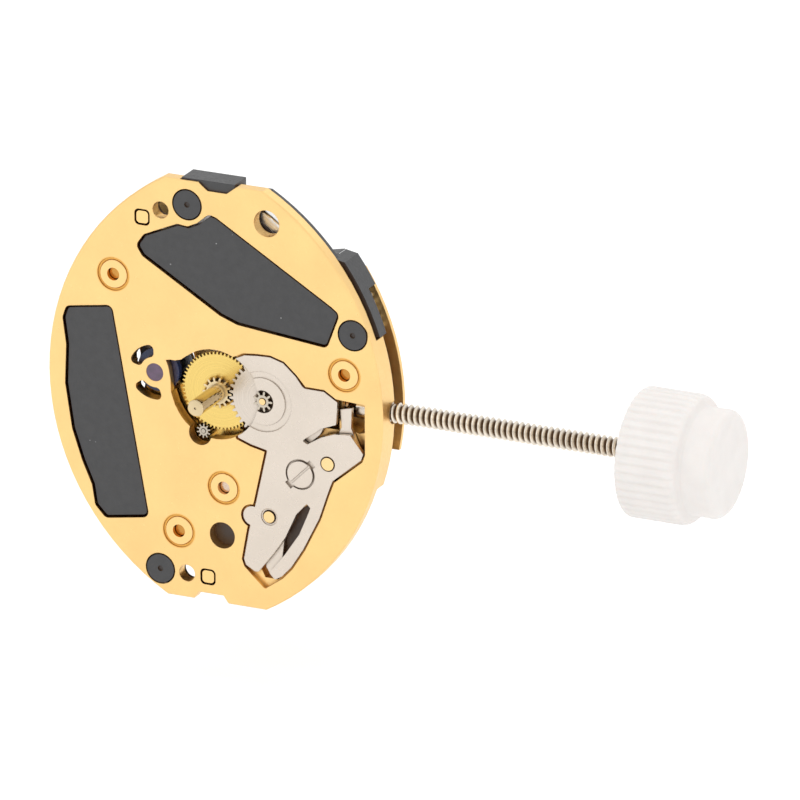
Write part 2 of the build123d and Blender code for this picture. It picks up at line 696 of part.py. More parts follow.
# Rotor jewel in the plate
with BuildPart() as rotor_jewel:
    discs([rotor_place], jewel_radius, running_gap, rotor_room_front)
    discs([rotor_place], pivot_radius + running_gap, rotor_room_front / 2 - side_gap, plate_web,
          Mode.SUBTRACT)

rotor_jewel.part.label = "rotor_jewel"
export_step(rotor_jewel.part, "parts/rotor_jewel.step")

# Values of the setting bridge
dish_outer = 1.28
dish_inner = 1.00
dish_depth = 0.06
bridge_corner = 0.05
screw_ring_gap = 0.08
screw_notch_width = 0.34
screw_notch_reach = 0.77
bridge_slot_heading = 45
collar_depth = 0.04
minute_pinion_tip = minute_pinion_pitch * (1 + 2 * leaf_flank_shares[-1][0] / minute_leaves)

# Setting bridge: sprung steel plate over the minute wheel and the levers
with BuildPart() as setting_bridge:
    with BuildSketch(dial_plane(bridge_seat)) as bridge_outline:
        with BuildLine():
            Polyline(*sized(bridge_shares), close=True)
        make_face()
        fillet(bridge_outline.vertices(), bridge_corner)
        with Locations(*sized([bridge_bump_shares])):
            Circle(post_collar_radius + side_gap)
        Circle(cavity_radius, mode=Mode.SUBTRACT)
    extrude(amount=bridge_thick)
    discs([minute_place], minute_pinion_tip + side_gap, -overrun, bridge_seat + overrun, Mode.SUBTRACT)
    with BuildSketch(dial_plane(bridge_front + dish_depth)):
        with Locations(minute_place):
            Circle(dish_outer)
            Circle(dish_inner, mode=Mode.SUBTRACT)
    extrude(amount=dish_depth + overrun, mode=Mode.SUBTRACT)
    discs([bridge_screw_place], bridge_screw_head + screw_ring_gap, -overrun,
          bridge_seat - bridge_screw_floor, Mode.SUBTRACT)
    with BuildSketch(dial_plane(bridge_seat - bridge_screw_floor)):
        with Locations(Location((*bridge_screw_place, 0), (0, 0, bridge_slot_heading))):
            Rectangle(2 * screw_notch_reach, screw_notch_width)
    extrude(amount=bridge_seat, mode=Mode.SUBTRACT)
    discs([bridge_screw_place], bridge_screw_shank + side_gap, -overrun, bridge_seat + overrun, Mode.SUBTRACT)
    discs([setting_pivot], lever_post_radius + side_gap, -overrun, bridge_seat + overrun, Mode.SUBTRACT)
    discs([yoke_pivot], yoke_post_radius + side_gap, -overrun, bridge_seat + overrun, Mode.SUBTRACT)
    discs([yoke_pivot], post_collar_radius, -overrun, bridge_front + collar_depth, Mode.SUBTRACT)

setting_bridge.part.label = "setting_bridge"
export_step(setting_bridge.part, "parts/setting_bridge.step")


def screw_slots(places, head_radius, slot_width, slot_heading, front, back):
    """Slots across screw heads, cut between two depths."""
    with BuildSketch(dial_plane(back)) as slot:
        with Locations(*[Location((*place, 0), (0, 0, slot_heading)) for place in places]):
            Rectangle(2 * head_radius + overrun, slot_width)
    extrude(slot.sketch, amount=back - front, mode=Mode.SUBTRACT)


# Bridge screw: flat slotted head flush with the bridge
small_slot_width = 0.10
small_slot_depth = 0.05
with BuildPart() as bridge_screw:
    discs([bridge_screw_place], bridge_screw_head, 0, bridge_seat - bridge_screw_floor)
    screw_slots([bridge_screw_place], bridge_screw_head, small_slot_width, bridge_slot_heading,
                -overrun, small_slot_depth)
    discs([bridge_screw_place], bridge_screw_shank, bridge_seat - bridge_screw_floor, block_back)

bridge_screw.part.label = "bridge_screw"
export_step(bridge_screw.part, "parts/bridge_screw.step")

# Posts of the setting lever, the yoke and the minute wheel
with BuildPart() as setting_lever_post:
    discs([setting_pivot], lever_post_radius, 0, block_back)

setting_lever_post.part.label = "setting_lever_post"
export_step(setting_lever_post.part, "parts/setting_lever_post.step")

with BuildPart() as yoke_post:
    discs([yoke_pivot], yoke_post_radius, 0, block_back)

yoke_post.part.label = "yoke_post"
export_step(yoke_post.part, "parts/yoke_post.step")

with BuildPart() as minute_wheel_post:
    discs([minute_place], minute_post_radius, 0, minute_pad_back)

minute_wheel_post.part.label = "minute_wheel_post"
export_step(minute_wheel_post.part, "parts/minute_wheel_post.step")

# Driving wheel: flat brass wheel, a friction fit on the hand arbor
arbor_seat_radius = 0.55
with BuildPart() as driving_wheel:
    toothed(arbor_place, drive_teeth, drive_pitch, wheel_flank_shares, drive_phase, drive_front, drive_back)
    discs([arbor_place], arbor_seat_radius, drive_front - overrun, drive_back + overrun, Mode.SUBTRACT)

driving_wheel.part.label = "driving_wheel"
export_step(driving_wheel.part, "parts/driving_wheel.step")

# Cannon pinion with the hand arbor: pipe for the hands, leaves, wheel seat and long bearing
centre_mark_radius = 0.05
centre_mark_depth = 0.04
arbor_end = 1.66
with BuildPart() as cannon_pinion:
    discs([arbor_place], pipe_radius, -pipe_front, cannon_front)
    chamfer(cannon_pinion.faces().sort_by(Axis.Y)[0].edges(), pipe_edge)
    toothed(arbor_place, cannon_leaves, cannon_pitch, leaf_flank_shares, cannon_phase, cannon_front,
            drive_front)
    discs([arbor_place], arbor_seat_radius, drive_front, drive_back)
    discs([arbor_place], arbor_radius, drive_back, arbor_end)
    discs([arbor_place], centre_mark_radius, -pipe_front - overrun, centre_mark_depth - pipe_front,
          Mode.SUBTRACT)

cannon_pinion.part.label = "cannon_pinion"
export_step(cannon_pinion.part, "parts/cannon_pinion.step")

# Centre tube: the long bearing of the hand arbor, pressed in the train bridge
tube_radius = 0.44
with BuildPart() as centre_tube:
    discs([arbor_place], tube_radius, third_wheel_back + wheel_gap, train_bridge_back)
    discs([arbor_place], arbor_radius + running_gap, plate_web, train_bridge_back + overrun, Mode.SUBTRACT)

centre_tube.part.label = "centre_tube"
export_step(centre_tube.part, "parts/centre_tube.step")

# Minute wheel and its pinion, which turn together on the post
with BuildPart() as minute_wheel:
    toothed(minute_place, minute_teeth, minute_wheel_pitch, wheel_flank_shares, minute_wheel_phase,
            minute_wheel_front, minute_wheel_back)
    discs([minute_place], minute_post_radius + running_gap, 0, minute_floor, Mode.SUBTRACT)

minute_wheel.part.label = "minute_wheel"
export_step(minute_wheel.part, "parts/minute_wheel.step")

with BuildPart() as minute_pinion:
    toothed(minute_place, minute_leaves, minute_pinion_pitch, leaf_flank_shares, 0,
            bridge_front + running_gap, minute_wheel_front)
    discs([minute_place], minute_post_radius + running_gap, -overrun, minute_floor, Mode.SUBTRACT)

minute_pinion.part.label = "minute_pinion"
export_step(minute_pinion.part, "parts/minute_pinion.step")

# Third wheel and pinion, on a post fixed in the train bridge
with BuildPart() as third_wheel:
    toothed(third_place, third_teeth, third_wheel_pitch, wheel_flank_shares, third_wheel_phase,
            third_wheel_front, third_wheel_back)
    discs([third_place], wheel_seat_radius, 0, third_wheel_back + overrun, Mode.SUBTRACT)

third_wheel.part.label = "third_wheel"
export_step(third_wheel.part, "parts/third_wheel.step")

with BuildPart() as third_pinion:
    toothed(third_place, third_leaves, third_pinion_pitch, leaf_flank_shares, third_pinion_phase,
            third_pinion_front, third_wheel_front)
    discs([third_place], wheel_seat_radius, third_wheel_front, third_wheel_back + wheel_gap)
    discs([third_place], third_post_radius + running_gap, 0, train_bridge_front, Mode.SUBTRACT)

third_pinion.part.label = "third_pinion"
export_step(third_pinion.part, "parts/third_pinion.step")

with BuildPart() as third_wheel_post:
    discs([third_place], third_post_radius, third_pinion_front - running_gap, train_bridge_back)

third_wheel_post.part.label = "third_wheel_post"
export_step(third_wheel_post.part, "parts/third_wheel_post.step")

# Intermediate wheel and pinion
pivot_end = train_bridge_back - side_gap
with BuildPart() as intermediate_wheel:
    toothed(intermediate_place, intermediate_teeth, intermediate_wheel_pitch, wheel_flank_shares,
            intermediate_wheel_phase, intermediate_wheel_front, intermediate_wheel_back)
    discs([intermediate_place], arbor_pivot_radius, 0, third_wheel_back, Mode.SUBTRACT)

intermediate_wheel.part.label = "intermediate_wheel"
export_step(intermediate_wheel.part, "parts/intermediate_wheel.step")

with BuildPart() as intermediate_pinion:
    discs([intermediate_place], pivot_radius, plate_web / 2 + side_gap, pivot_end)
    discs([intermediate_place], arbor_pivot_radius, plate_web + side_gap, train_bridge_front - side_gap)
    toothed(intermediate_place, intermediate_leaves, intermediate_pinion_pitch, leaf_flank_shares,
            intermediate_pinion_phase, intermediate_wheel_back, third_wheel_back + wheel_gap)

intermediate_pinion.part.label = "intermediate_pinion"
export_step(intermediate_pinion.part, "parts/intermediate_pinion.step")

# Rotor: plastic body with flange and pinion, and the ring magnet on it
with BuildPart() as rotor_pinion:
    discs([rotor_place], rotor_flange_radius, rotor_flange_front, rotor_flange_back)
    toothed(rotor_place, rotor_leaves, rotor_pinion_pitch, leaf_flank_shares, rotor_pinion_phase,
            rotor_flange_back, intermediate_wheel_back + wheel_gap)
    discs([rotor_place], arbor_radius, intermediate_wheel_back, magnet_back + side_gap)
    discs([rotor_place], pivot_radius, rotor_room_front / 2, pivot_end)

rotor_pinion.part.label = "rotor_pinion"
export_step(rotor_pinion.part, "parts/rotor_pinion.step")

with BuildPart() as rotor_magnet:
    discs([rotor_place], magnet_radius, magnet_front, magnet_back)
    discs([rotor_place], arbor_radius, magnet_front - overrun, magnet_back + overrun, Mode.SUBTRACT)

rotor_magnet.part.label = "rotor_magnet"
export_step(rotor_magnet.part, "parts/rotor_magnet.step")

# Train bridge: carries the back bearings of the train
bridge_hull_radius = 0.62
bridge_jewel_radius = 0.24
with BuildPart() as train_bridge:
    with BuildSketch(dial_plane(train_bridge_back)):
        with Locations(train_feet[0], rotor_place, intermediate_place):
            Circle(bridge_hull_radius)
        make_hull()
    extrude(amount=train_bridge_thick)
    with BuildSketch(dial_plane(train_bridge_back)):
        with Locations(intermediate_place, third_place, train_feet[1], arbor_place):
            Circle(bridge_hull_radius)
        make_hull()
    extrude(amount=train_bridge_thick)
    discs([arbor_place], tube_radius, 0, train_bridge_back + overrun, Mode.SUBTRACT)
    discs([third_place], third_post_radius, 0, train_bridge_back + overrun, Mode.SUBTRACT)
    discs([rotor_place, intermediate_place], bridge_jewel_radius, 0, train_bridge_back + overrun,
          Mode.SUBTRACT)
    discs(train_feet, foot_screw_radius + running_gap, 0, train_bridge_back + overrun, Mode.SUBTRACT)

train_bridge.part.label = "train_bridge"
export_step(train_bridge.part, "parts/train_bridge.step")

with BuildPart() as bridge_jewels:
    discs([rotor_place, intermediate_place], bridge_jewel_radius, train_bridge_front, train_bridge_back)
    discs([rotor_place, intermediate_place], pivot_radius + running_gap, 0, train_bridge_back + overrun,
          Mode.SUBTRACT)

bridge_jewels.part.label = "bridge_jewels"
export_step(bridge_jewels.part, "parts/bridge_jewels.step")

small_head_radius = 0.40
small_head_thick = 0.14
train_slot_heading = 20
with BuildPart() as train_screws:
    train_screw_top = train_bridge_back + small_head_thick
    discs(train_feet, small_head_radius, train_bridge_back, train_screw_top)
    screw_slots(train_feet, small_head_radius, small_slot_width, train_slot_heading,
                train_screw_top - small_slot_depth, train_screw_top + overrun)
    discs(train_feet, foot_screw_radius, plate_web, train_bridge_back)

train_screws.part.label = "train_screws"
export_step(train_screws.part, "parts/train_screws.step")

# Stator: soft iron sheet round the magnet, with two notches and two arms to the coil core
stator_ring_radius = 1.20
notch_heading = 50
with BuildPart() as stator:
    slab(sized(stator_upper_shares), stator_front, stator_back, 0)
    slab(sized(stator_lower_shares), stator_front, stator_back, 0)
    discs([rotor_place], stator_ring_radius, stator_front, stator_back)
    discs([rotor_place], stator_hole_radius, 0, stator_back + overrun, Mode.SUBTRACT)
    with BuildSketch(dial_plane(stator_back + overrun)):
        with Locations(rotor_place):
            with PolarLocations(stator_hole_radius, 2, start_angle=notch_heading):
                Circle(stator_notch_radius)
    extrude(amount=stator_thick + 2 * overrun, mode=Mode.SUBTRACT)
    discs(train_feet, foot_pillar_radius + side_gap, 0, stator_back + overrun, Mode.SUBTRACT)
    discs(coil_lugs, coil_screw_radius + running_gap, 0, stator_back + overrun, Mode.SUBTRACT)

stator.part.label = "stator"
export_step(stator.part, "parts/stator.step")


def coil_plane(depth):
    """Drawing plane centred on the coil, its x along the core."""
    return Plane(origin=(coil_x, depth, coil_z), x_dir=(coil_along[0], 0, coil_along[1]), z_dir=(0, -1, 0))


def coil_section(offset_along):
    """Drawing plane square to the coil's core, at a distance along it from its middle."""
    start = (coil_x + offset_along * coil_along[0], core_depth, coil_z + offset_along * coil_along[1])
    return Plane(origin=start, x_dir=(0, 1, 0), z_dir=(coil_along[0], 0, coil_along[1]))


# Coil: core bar with a lug at each end, two cheeks and the winding
core_corner = 0.30
with BuildPart() as coil_core:
    with BuildSketch(coil_plane(stator_back + core_thick)):
        Rectangle(2 * lug_offset, core_width)
        with Locations((-lug_offset, 0), (lug_offset, 0)):
            RectangleRounded(core_lug_length, core_lug_width, core_corner)
            Circle(coil_screw_radius + running_gap, mode=Mode.SUBTRACT)
    extrude(amount=core_thick)

coil_core.part.label = "coil_core"
export_step(coil_core.part, "parts/coil_core.step")

with BuildPart() as coil_winding:
    with BuildSketch(coil_section(-winding_length / 2)):
        Circle(winding_radius)
        Rectangle(core_thick, core_width, mode=Mode.SUBTRACT)
    extrude(amount=winding_length)

coil_winding.part.label = "coil_winding"
export_step(coil_winding.part, "parts/coil_winding.step")

with BuildPart() as coil_cheeks:
    for start in (-winding_length / 2 - cheek_thick, winding_length / 2):
        with BuildSketch(coil_section(start)):
            Circle(cheek_radius)
            Rectangle(core_thick, core_width, mode=Mode.SUBTRACT)
        extrude(amount=cheek_thick)

coil_cheeks.part.label = "coil_cheeks"
export_step(coil_cheeks.part, "parts/coil_cheeks.step")

coil_slot_heading = 70
with BuildPart() as coil_screws:
    coil_screw_seat = stator_back + core_thick
    coil_screw_top = coil_screw_seat + small_head_thick
    discs(coil_lugs, small_head_radius, coil_screw_seat, coil_screw_top)
    screw_slots(coil_lugs, small_head_radius, small_slot_width, coil_slot_heading,
                coil_screw_top - small_slot_depth, coil_screw_top + overrun)
    discs(coil_lugs, coil_screw_radius, frame_web_back + side_gap, coil_screw_seat)

coil_screws.part.label = "coil_screws"
export_step(coil_screws.part, "parts/coil_screws.step")

# Battery: can, gasket and cap; the cap faces the dial side
can_edge = 0.12
cap_edge = 0.06
cap_seat = battery_front + battery_crimp_height + 2 * cap_edge
with BuildPart() as battery_can:
    discs([battery_place], battery_radius, battery_front + battery_crimp_height, back_plate_back)
    fillet(battery_can.faces().sort_by(Axis.Y)[0].edges(), can_edge)
    fillet(battery_can.faces().sort_by(Axis.Y)[-1].edges(), can_edge)
    discs([battery_place], battery_cap_radius + battery_gasket_width, 0, cap_seat, Mode.SUBTRACT)

battery_can.part.label = "battery_can"
export_step(battery_can.part, "parts/battery_can.step")

with BuildPart() as battery_cap:
    discs([battery_place], battery_cap_radius, battery_front, cap_seat)
    fillet(battery_cap.faces().sort_by(Axis.Y)[0].edges(), cap_edge)

battery_cap.part.label = "battery_cap"
export_step(battery_cap.part, "parts/battery_cap.step")

with BuildPart() as battery_gasket:
    discs([battery_place], battery_cap_radius + battery_gasket_width, battery_front + cap_edge, cap_seat)
    discs([battery_place], battery_cap_radius, 0, cap_seat + overrun, Mode.SUBTRACT)

battery_gasket.part.label = "battery_gasket"
export_step(battery_gasket.part, "parts/battery_gasket.step")

# Back plate: gilt cover round the battery, with the coil left open
cover_inset = 0.50
cover_lobe_inset = 0.04
cover_lobe_top = 5.60
cover_lobe_bottom = -1.95
coil_window_gap = 0.28
train_window_radius = 0.80
battery_opening = battery_radius + moulding_gap
cover_mouth_half = 1.60
with BuildPart() as back_plate:
    with BuildSketch(dial_plane(back_plate_back)):
        oval(cover_inset)
        with BuildSketch():
            oval(cover_lobe_inset)
            with Locations((arc_radius, (cover_lobe_top + cover_lobe_bottom) / 2)):
                Rectangle(2 * (arc_radius - block_start), cover_lobe_top - cover_lobe_bottom,
                          mode=Mode.INTERSECT)
    extrude(amount=back_plate_thick)
    discs([battery_place], battery_opening, 0, back_plate_back + overrun, Mode.SUBTRACT)
    mouth_left = battery_place[0] - cover_mouth_half
    mouth_right = battery_place[0] + cover_mouth_half
    slab([(mouth_left, battery_place[1]), (mouth_right, battery_place[1]), (mouth_right, cover_lobe_top),
          (half_width, cover_lobe_top), (half_width, half_height), (mouth_left, half_height)],
         0, back_plate_back + overrun, 0, Mode.SUBTRACT)
    with BuildSketch(coil_plane(back_plate_back + overrun)):
        RectangleRounded(winding_length + 2 * (cheek_thick + coil_window_gap),
                         2 * (cheek_radius + coil_window_gap), core_corner)
    extrude(amount=back_plate_thick + 2 * overrun, mode=Mode.SUBTRACT)
    discs([rotor_place], train_window_radius, 0, back_plate_back + overrun, Mode.SUBTRACT)
    discs(bush_places, bush_bore + side_gap, 0, back_plate_back + overrun, Mode.SUBTRACT)
    discs([setting_pivot], lever_post_radius, 0, back_plate_back + overrun, Mode.SUBTRACT)

back_plate.part.label = "back_plate"
export_step(back_plate.part, "parts/back_plate.step")

# Battery strap, held by the two upper back screws
strap_end_radius = 0.78
strap_run = dist(bush_places[0], bush_places[1])
strap_heading = bearing_of(bush_places[0], bush_places[1])
with BuildPart() as battery_strap:
    discs(bush_places[:2], strap_end_radius, back_plate_back, strap_back)
    with BuildSketch(dial_plane(strap_back)):
        with Locations(Location((
                (bush_places[0][0] + bush_places[1][0]) / 2,
                (bush_places[0][1] + bush_places[1][1]) / 2, 0), (0, 0, strap_heading))):
            Rectangle(strap_run, 2 * strap_half_width)
    extrude(amount=strap_thick)
    discs(bush_places[:2], bush_bore + side_gap, 0, strap_back + overrun, Mode.SUBTRACT)

battery_strap.part.label = "battery_strap"
export_step(battery_strap.part, "parts/battery_strap.step")

# Back screws: two through the strap and two through the back plate
strap_slot_heading = 35
cover_slot_heading = -20
with BuildPart() as back_screws:
    for places, seat, heading in (
            (bush_places[:2], strap_back, strap_slot_heading),
            (bush_places[2:], back_plate_back, cover_slot_heading)):
        head_top = seat + screw_head_thick
        discs(places, screw_head_radius, seat, head_top)
        screw_slots(places, screw_head_radius, screw_slot_width, heading,
                    head_top - screw_slot_depth, head_top + overrun)
        discs(places, bush_bore - running_gap, screw_tip_depth, seat)

back_screws.part.label = "back_screws"
export_step(back_screws.part, "parts/back_screws.step")

# Circuit board: thin brown sheet that reaches along the rim to the quartz
board_thick = 0.16
board_front = lower_body_back
board_back = board_front + board_thick
with BuildPart() as circuit_board:
    slab(sized(board_shares), board_front, board_back, 0)
    discs(bush_places, bush_radius + side_gap, 0, board_back + overrun, Mode.SUBTRACT)

circuit_board.part.label = "circuit_board"
export_step(circuit_board.part, "parts/circuit_board.step")

# Chip under its round drop of resin
chip_shares = (0.270, -0.590)
chip_radius = 0.95
chip_height = 0.20
chip_edge = 0.08
with BuildPart() as circuit_chip:
    discs(sized([chip_shares]), chip_radius, board_back, board_back + chip_height)
    fillet(circuit_chip.faces().sort_by(Axis.Y)[-1].edges(), chip_edge)

circuit_chip.part.label = "circuit_chip"
export_step(circuit_chip.part, "parts/circuit_chip.step")

# Quartz can
quartz_edge = 0.10
with BuildPart() as quartz_can:
    with BuildSketch(quartz_plane(-quartz_length / 2)):
        Circle(quartz_radius)
    extrude(amount=quartz_length)
    fillet(quartz_can.faces().sort_by(Axis.Z)[-1].edges(), quartz_edge)

quartz_can.part.label = "quartz_can"
export_step(quartz_can.part, "parts/quartz_can.step")

# Contacts of the battery: strip under the cap with its riser, and comb beside the can
with BuildPart() as negative_contact:
    with BuildSketch(dial_plane(contact_front + contact_thick)):
        with BuildLine():
            Polyline(*sized(contact_strip_shares), close=True)
        make_face()
        offset(amount=-side_gap, kind=Kind.INTERSECTION)
    extrude(amount=contact_thick)
    discs(sized([contact_riser_shares]), contact_riser_radius - running_gap, contact_front, upper_block_back)

negative_contact.part.label = "negative_contact"
export_step(negative_contact.part, "parts/negative_contact.step")

comb_tooth = 0.16
comb_pitch = 0.30
comb_depth = 0.10
comb_from, comb_to = sized(comb_shares)[2:4]
comb_count = int(dist(comb_from, comb_to) / comb_pitch)


def comb_steps(first, last):
    """Places a pitch apart along the comb's edge, counted in steps from its upper end."""
    run = (comb_to[0] - comb_from[0], comb_to[1] - comb_from[1])
    heading = bearing_of(comb_from, comb_to)
    steps = [(first + step) / comb_count for step in range(int(last - first) + 1)]
    return [Location((comb_from[0] + run[0] * step, comb_from[1] + run[1] * step, 0), (0, 0, heading))
            for step in steps]


with BuildPart() as positive_contact:
    with BuildSketch(dial_plane(upper_block_back + contact_thick)):
        with BuildLine():
            Polyline(*sized(comb_shares), close=True)
        make_face()
        with Locations(battery_place):
            Circle(battery_radius + running_gap, mode=Mode.SUBTRACT)
        with Locations(*comb_steps(1 / 2, comb_count - 1 / 2)):
            Rectangle(comb_pitch - comb_tooth, 2 * comb_depth, mode=Mode.SUBTRACT)
    extrude(amount=contact_thick)
    with BuildSketch(dial_plane(upper_block_back)):
        with BuildLine():
            Polyline(*sized(comb_shares), close=True)
        make_face()
        with BuildSketch(mode=Mode.INTERSECT):
            with Locations(*comb_steps(1, comb_count - 1)):
                Rectangle(comb_tooth, 2 * comb_depth)
    extrude(amount=upper_block_back - block_step_back - side_gap)
    discs(sized([contact_riser_shares]), contact_riser_radius + air_gap, 0, back_plate_front, Mode.SUBTRACT)

positive_contact.part.label = "positive_contact"
export_step(positive_contact.part, "parts/positive_contact.step")

# Setting lever: its finger sits in the stem's groove
finger_back = stem_depth - groove_radius - lever_floor_gap
with BuildPart() as setting_lever:
    slab(sized(setting_lever_shares), lever_front, lever_back, 0)
    discs([lever_finger], finger_width / 2, lever_front, finger_back)
    discs([setting_pivot], lever_post_radius + running_gap, 0, block_back, Mode.SUBTRACT)

setting_lever.part.label = "setting_lever"
export_step(setting_lever.part, "parts/setting_lever.step")

# Yoke: its finger sits in the sliding pinion's groove
yoke_finger_back = stem_depth - slider_groove_radius - lever_floor_gap
with BuildPart() as yoke:
    slab(sized(yoke_shares), lever_front, lever_back, 0)
    discs([yoke_finger], finger_width / 2, lever_front, yoke_finger_back)
    discs([yoke_pivot], yoke_post_radius + running_gap, 0, block_back, Mode.SUBTRACT)

yoke.part.label = "yoke"
export_step(yoke.part, "parts/yoke.step")

# Sliding pinion: crown teeth towards the minute wheel, groove for the yoke, square bore
with BuildPart() as sliding_pinion:
    with BuildSketch(stem_plane(slider_start)):
        Circle(slider_crown_radius)
    extrude(amount=slider_crown_length)
    with BuildSketch(stem_plane(slider_groove_start)):
        Circle(slider_groove_radius)
    extrude(amount=slider_groove_length)
    with BuildSketch(stem_plane(slider_groove_end)):
        Circle(slider_rear_radius)
    extrude(amount=slider_rear_length)
    with BuildSketch(stem_plane(slider_start - overrun)):
        with PolarLocations(slider_crown_radius, slider_teeth):
            Rectangle(slider_crown_radius - slider_groove_radius, slider_tooth_depth)
    extrude(amount=overrun + slider_tooth_depth, mode=Mode.SUBTRACT)
    with BuildSketch(stem_plane(slider_start - overrun)):
        Rectangle(square_side + 2 * running_gap, square_side + 2 * running_gap)
    extrude(amount=slider_end + 2 * overrun - slider_start, mode=Mode.SUBTRACT)

sliding_pinion.part.label = "sliding_pinion"
export_step(sliding_pinion.part, "parts/sliding_pinion.step")

# Stem: pilot, square, grooved shaft and the long threaded end
stem_end = knob_start + knob_bore_depth
with BuildPart() as stem:
    for radius, start, end in (
            (pilot_radius, stem_start, pilot_end),
            (shaft_radius, square_end, groove_start),
            (groove_radius, groove_start, groove_start + groove_width),
            (shaft_radius, groove_start + groove_width, thread_start),
            (thread_radius, thread_start, stem_end)):
        with BuildSketch(stem_plane(start)):
            Circle(radius)
        extrude(amount=end - start)
    with BuildSketch(stem_plane(pilot_end)):
        Rectangle(square_side, square_side)
    extrude(amount=square_end - pilot_end)

stem.part.label = "stem"
export_step(stem.part, "parts/stem.step")

# Knob: fluted grip with a smooth boss at its end
with BuildPart() as knob:
    with BuildSketch(stem_plane(knob_start)):
        Circle(knob_radius)
    extrude(amount=knob_length)
    chamfer(knob.edges().filter_by(GeomType.CIRCLE), knob_chamfer)
    with BuildSketch(stem_plane(knob_start + knob_length)):
        Circle(knob_boss_radius)
    extrude(amount=knob_boss_length)
    fillet(knob.faces().sort_by(Axis.X)[-1].edges(), knob_boss_edge)
    with BuildSketch(stem_plane(knob_start - overrun)):
        with PolarLocations(knob_radius, knob_flutes):
            RegularPolygon(flute_radius, flute_sides)
    extrude(amount=knob_length + overrun, mode=Mode.SUBTRACT)
    with BuildSketch(stem_plane(knob_start - overrun)):
        Circle(thread_radius)
    extrude(amount=knob_bore_depth + overrun, mode=Mode.SUBTRACT)

knob.part.label = "knob"
export_step(knob.part, "parts/knob.step")
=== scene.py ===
import math

import bmesh
import bpy
from bpy.props import FloatProperty, FloatVectorProperty, IntProperty, PointerProperty
from mathutils import Matrix, Vector


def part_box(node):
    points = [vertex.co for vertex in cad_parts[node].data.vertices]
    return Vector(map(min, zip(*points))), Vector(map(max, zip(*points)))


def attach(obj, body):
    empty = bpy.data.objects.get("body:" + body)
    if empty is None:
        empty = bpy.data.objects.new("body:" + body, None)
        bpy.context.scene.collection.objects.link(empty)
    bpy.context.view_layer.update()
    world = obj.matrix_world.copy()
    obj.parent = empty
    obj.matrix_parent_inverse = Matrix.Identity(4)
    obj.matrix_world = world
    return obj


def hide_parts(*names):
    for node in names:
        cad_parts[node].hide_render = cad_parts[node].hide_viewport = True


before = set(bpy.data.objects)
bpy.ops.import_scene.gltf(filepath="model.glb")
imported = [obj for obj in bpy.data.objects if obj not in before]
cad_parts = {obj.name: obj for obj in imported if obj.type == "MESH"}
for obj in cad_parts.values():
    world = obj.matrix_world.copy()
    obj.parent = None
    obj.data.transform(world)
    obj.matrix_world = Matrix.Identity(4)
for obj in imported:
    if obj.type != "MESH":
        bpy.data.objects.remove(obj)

bl_info = {
    "name": "Quartz Watch Movement",
    "version": (1, 0, 0),
    "blender": (4, 5, 0),
    "location": "View3D > Sidebar > Movement",
    "description": "Dresses a two-hand quartz movement: plate, setting works, train, coil, battery and stem",
    "category": "Object",
}

MM = 0.001

# Axes of the four screw bushes in the dial's plane, as shares of the plate's half height

BUSH_SHARES = ((-0.503, 0.500), (0.644, 0.188), (0.040, -0.443), (-0.187, -0.685))

# Number of the bush that holds the bright screw, counted from nought

BRIGHT_BUSH = 2

# Radii in millimetres round a bush's axis: the painted shade of the groove in the plate, and the screw
# inside

BUSH_GROOVE_REACH = 0.69
BUSH_SCREW_REACH = 0.70

# Stem in front of its thread: sides of its rings, radii, and distances along +X from the hand arbor

PILOT_SIDES = 32
PILOT_RADIUS = 0.19 * MM
PILOT_NOSE = 0.10 * MM
PILOT_NOSE_SHARE = 0.6
PILOT_END = 3.32 * MM
SQUARE_HALF_SIDE = 0.23 * MM
SQUARE_STEPS = ((3.30 * MM, 0.86), (3.38 * MM, 1.0), (5.32 * MM, 1.0))
SHAFT_SIDES = 48
SHAFT_RADIUS = 0.42 * MM
SHAFT_START = 5.30 * MM
STEM_GROOVE_RADIUS = 0.26 * MM
STEM_GROOVE_START = 5.56 * MM
STEM_GROOVE_END = 5.88 * MM
BROKEN_EDGE = 0.03 * MM
RUN_IN = 0.06 * MM

# Thread of the stem: heights over one turn, sides, turns in which it rises, and its end in the last

THREAD_HEIGHTS = (1.0, 1.0, 0.72, 0.28, 0.0, 0.0, 0.28, 0.72)
THREAD_SIDES = 40
THREAD_RISE = 0.8
THREAD_STOP = 0.9

# Knob: soft front edge, shoulder behind the grip, and boss with a slightly dished end

FLUTE_STEPS = 8
FLUTE_ROUNDNESS = 0.8
GRIP_ROUND_STEPS = 6
BOSS_ROUND_STEPS = 7
FRONT_FLUTE = 0.6
FRONT_EDGE = 0.18 * MM
FRONT_STEP = 0.02 * MM
FRONT_MARGIN = 0.10 * MM
SHOULDER_RUN = 0.50 * MM
SHOULDER_ROUND = 0.42 * MM
SHOULDER_DROP = 0.30 * MM
BOSS_FOOT = ((0.0, 0.03 * MM), (0.05 * MM, 0.0))
BOSS_EDGE = 0.30 * MM
BOSS_DISH = ((0.03 * MM, 0.80), (0.05 * MM, 0.40))

# Coil: points along one turn and round it, the slow wave of its outline, and its clearance

COIL_STEPS = 4
COIL_SIDES = 36
COIL_WAVE = 0.010 * MM
COIL_WAVE_RATE = 0.37
COIL_CLEARANCE = 0.012 * MM

# Finishes: radius to which their edges are rounded, and the widest gaps in which they paint shade

ROUNDED_EDGE = 0.02 * MM
METAL_GAP = 0.35 * MM
PLASTIC_GAP = 0.25 * MM

# Lamps: name, place, size, and level as a share of the key light's

LAMPS = (
    ("key_light", (-0.10, -0.22, 0.22), 0.22, 1.0),
    ("fill_light", (0.26, -0.10, 0.10), 0.20, 0.45),
    ("top_light", (0.02, -0.02, 0.30), 0.20, 0.9),
    ("rim_light", (0.05, 0.25, 0.18), 0.20, 0.5),
)
FLOOR_HALF_SIDE = 1.5

# Camera: its way from the origin, its lean, distance and view, centred so many pixels right and below

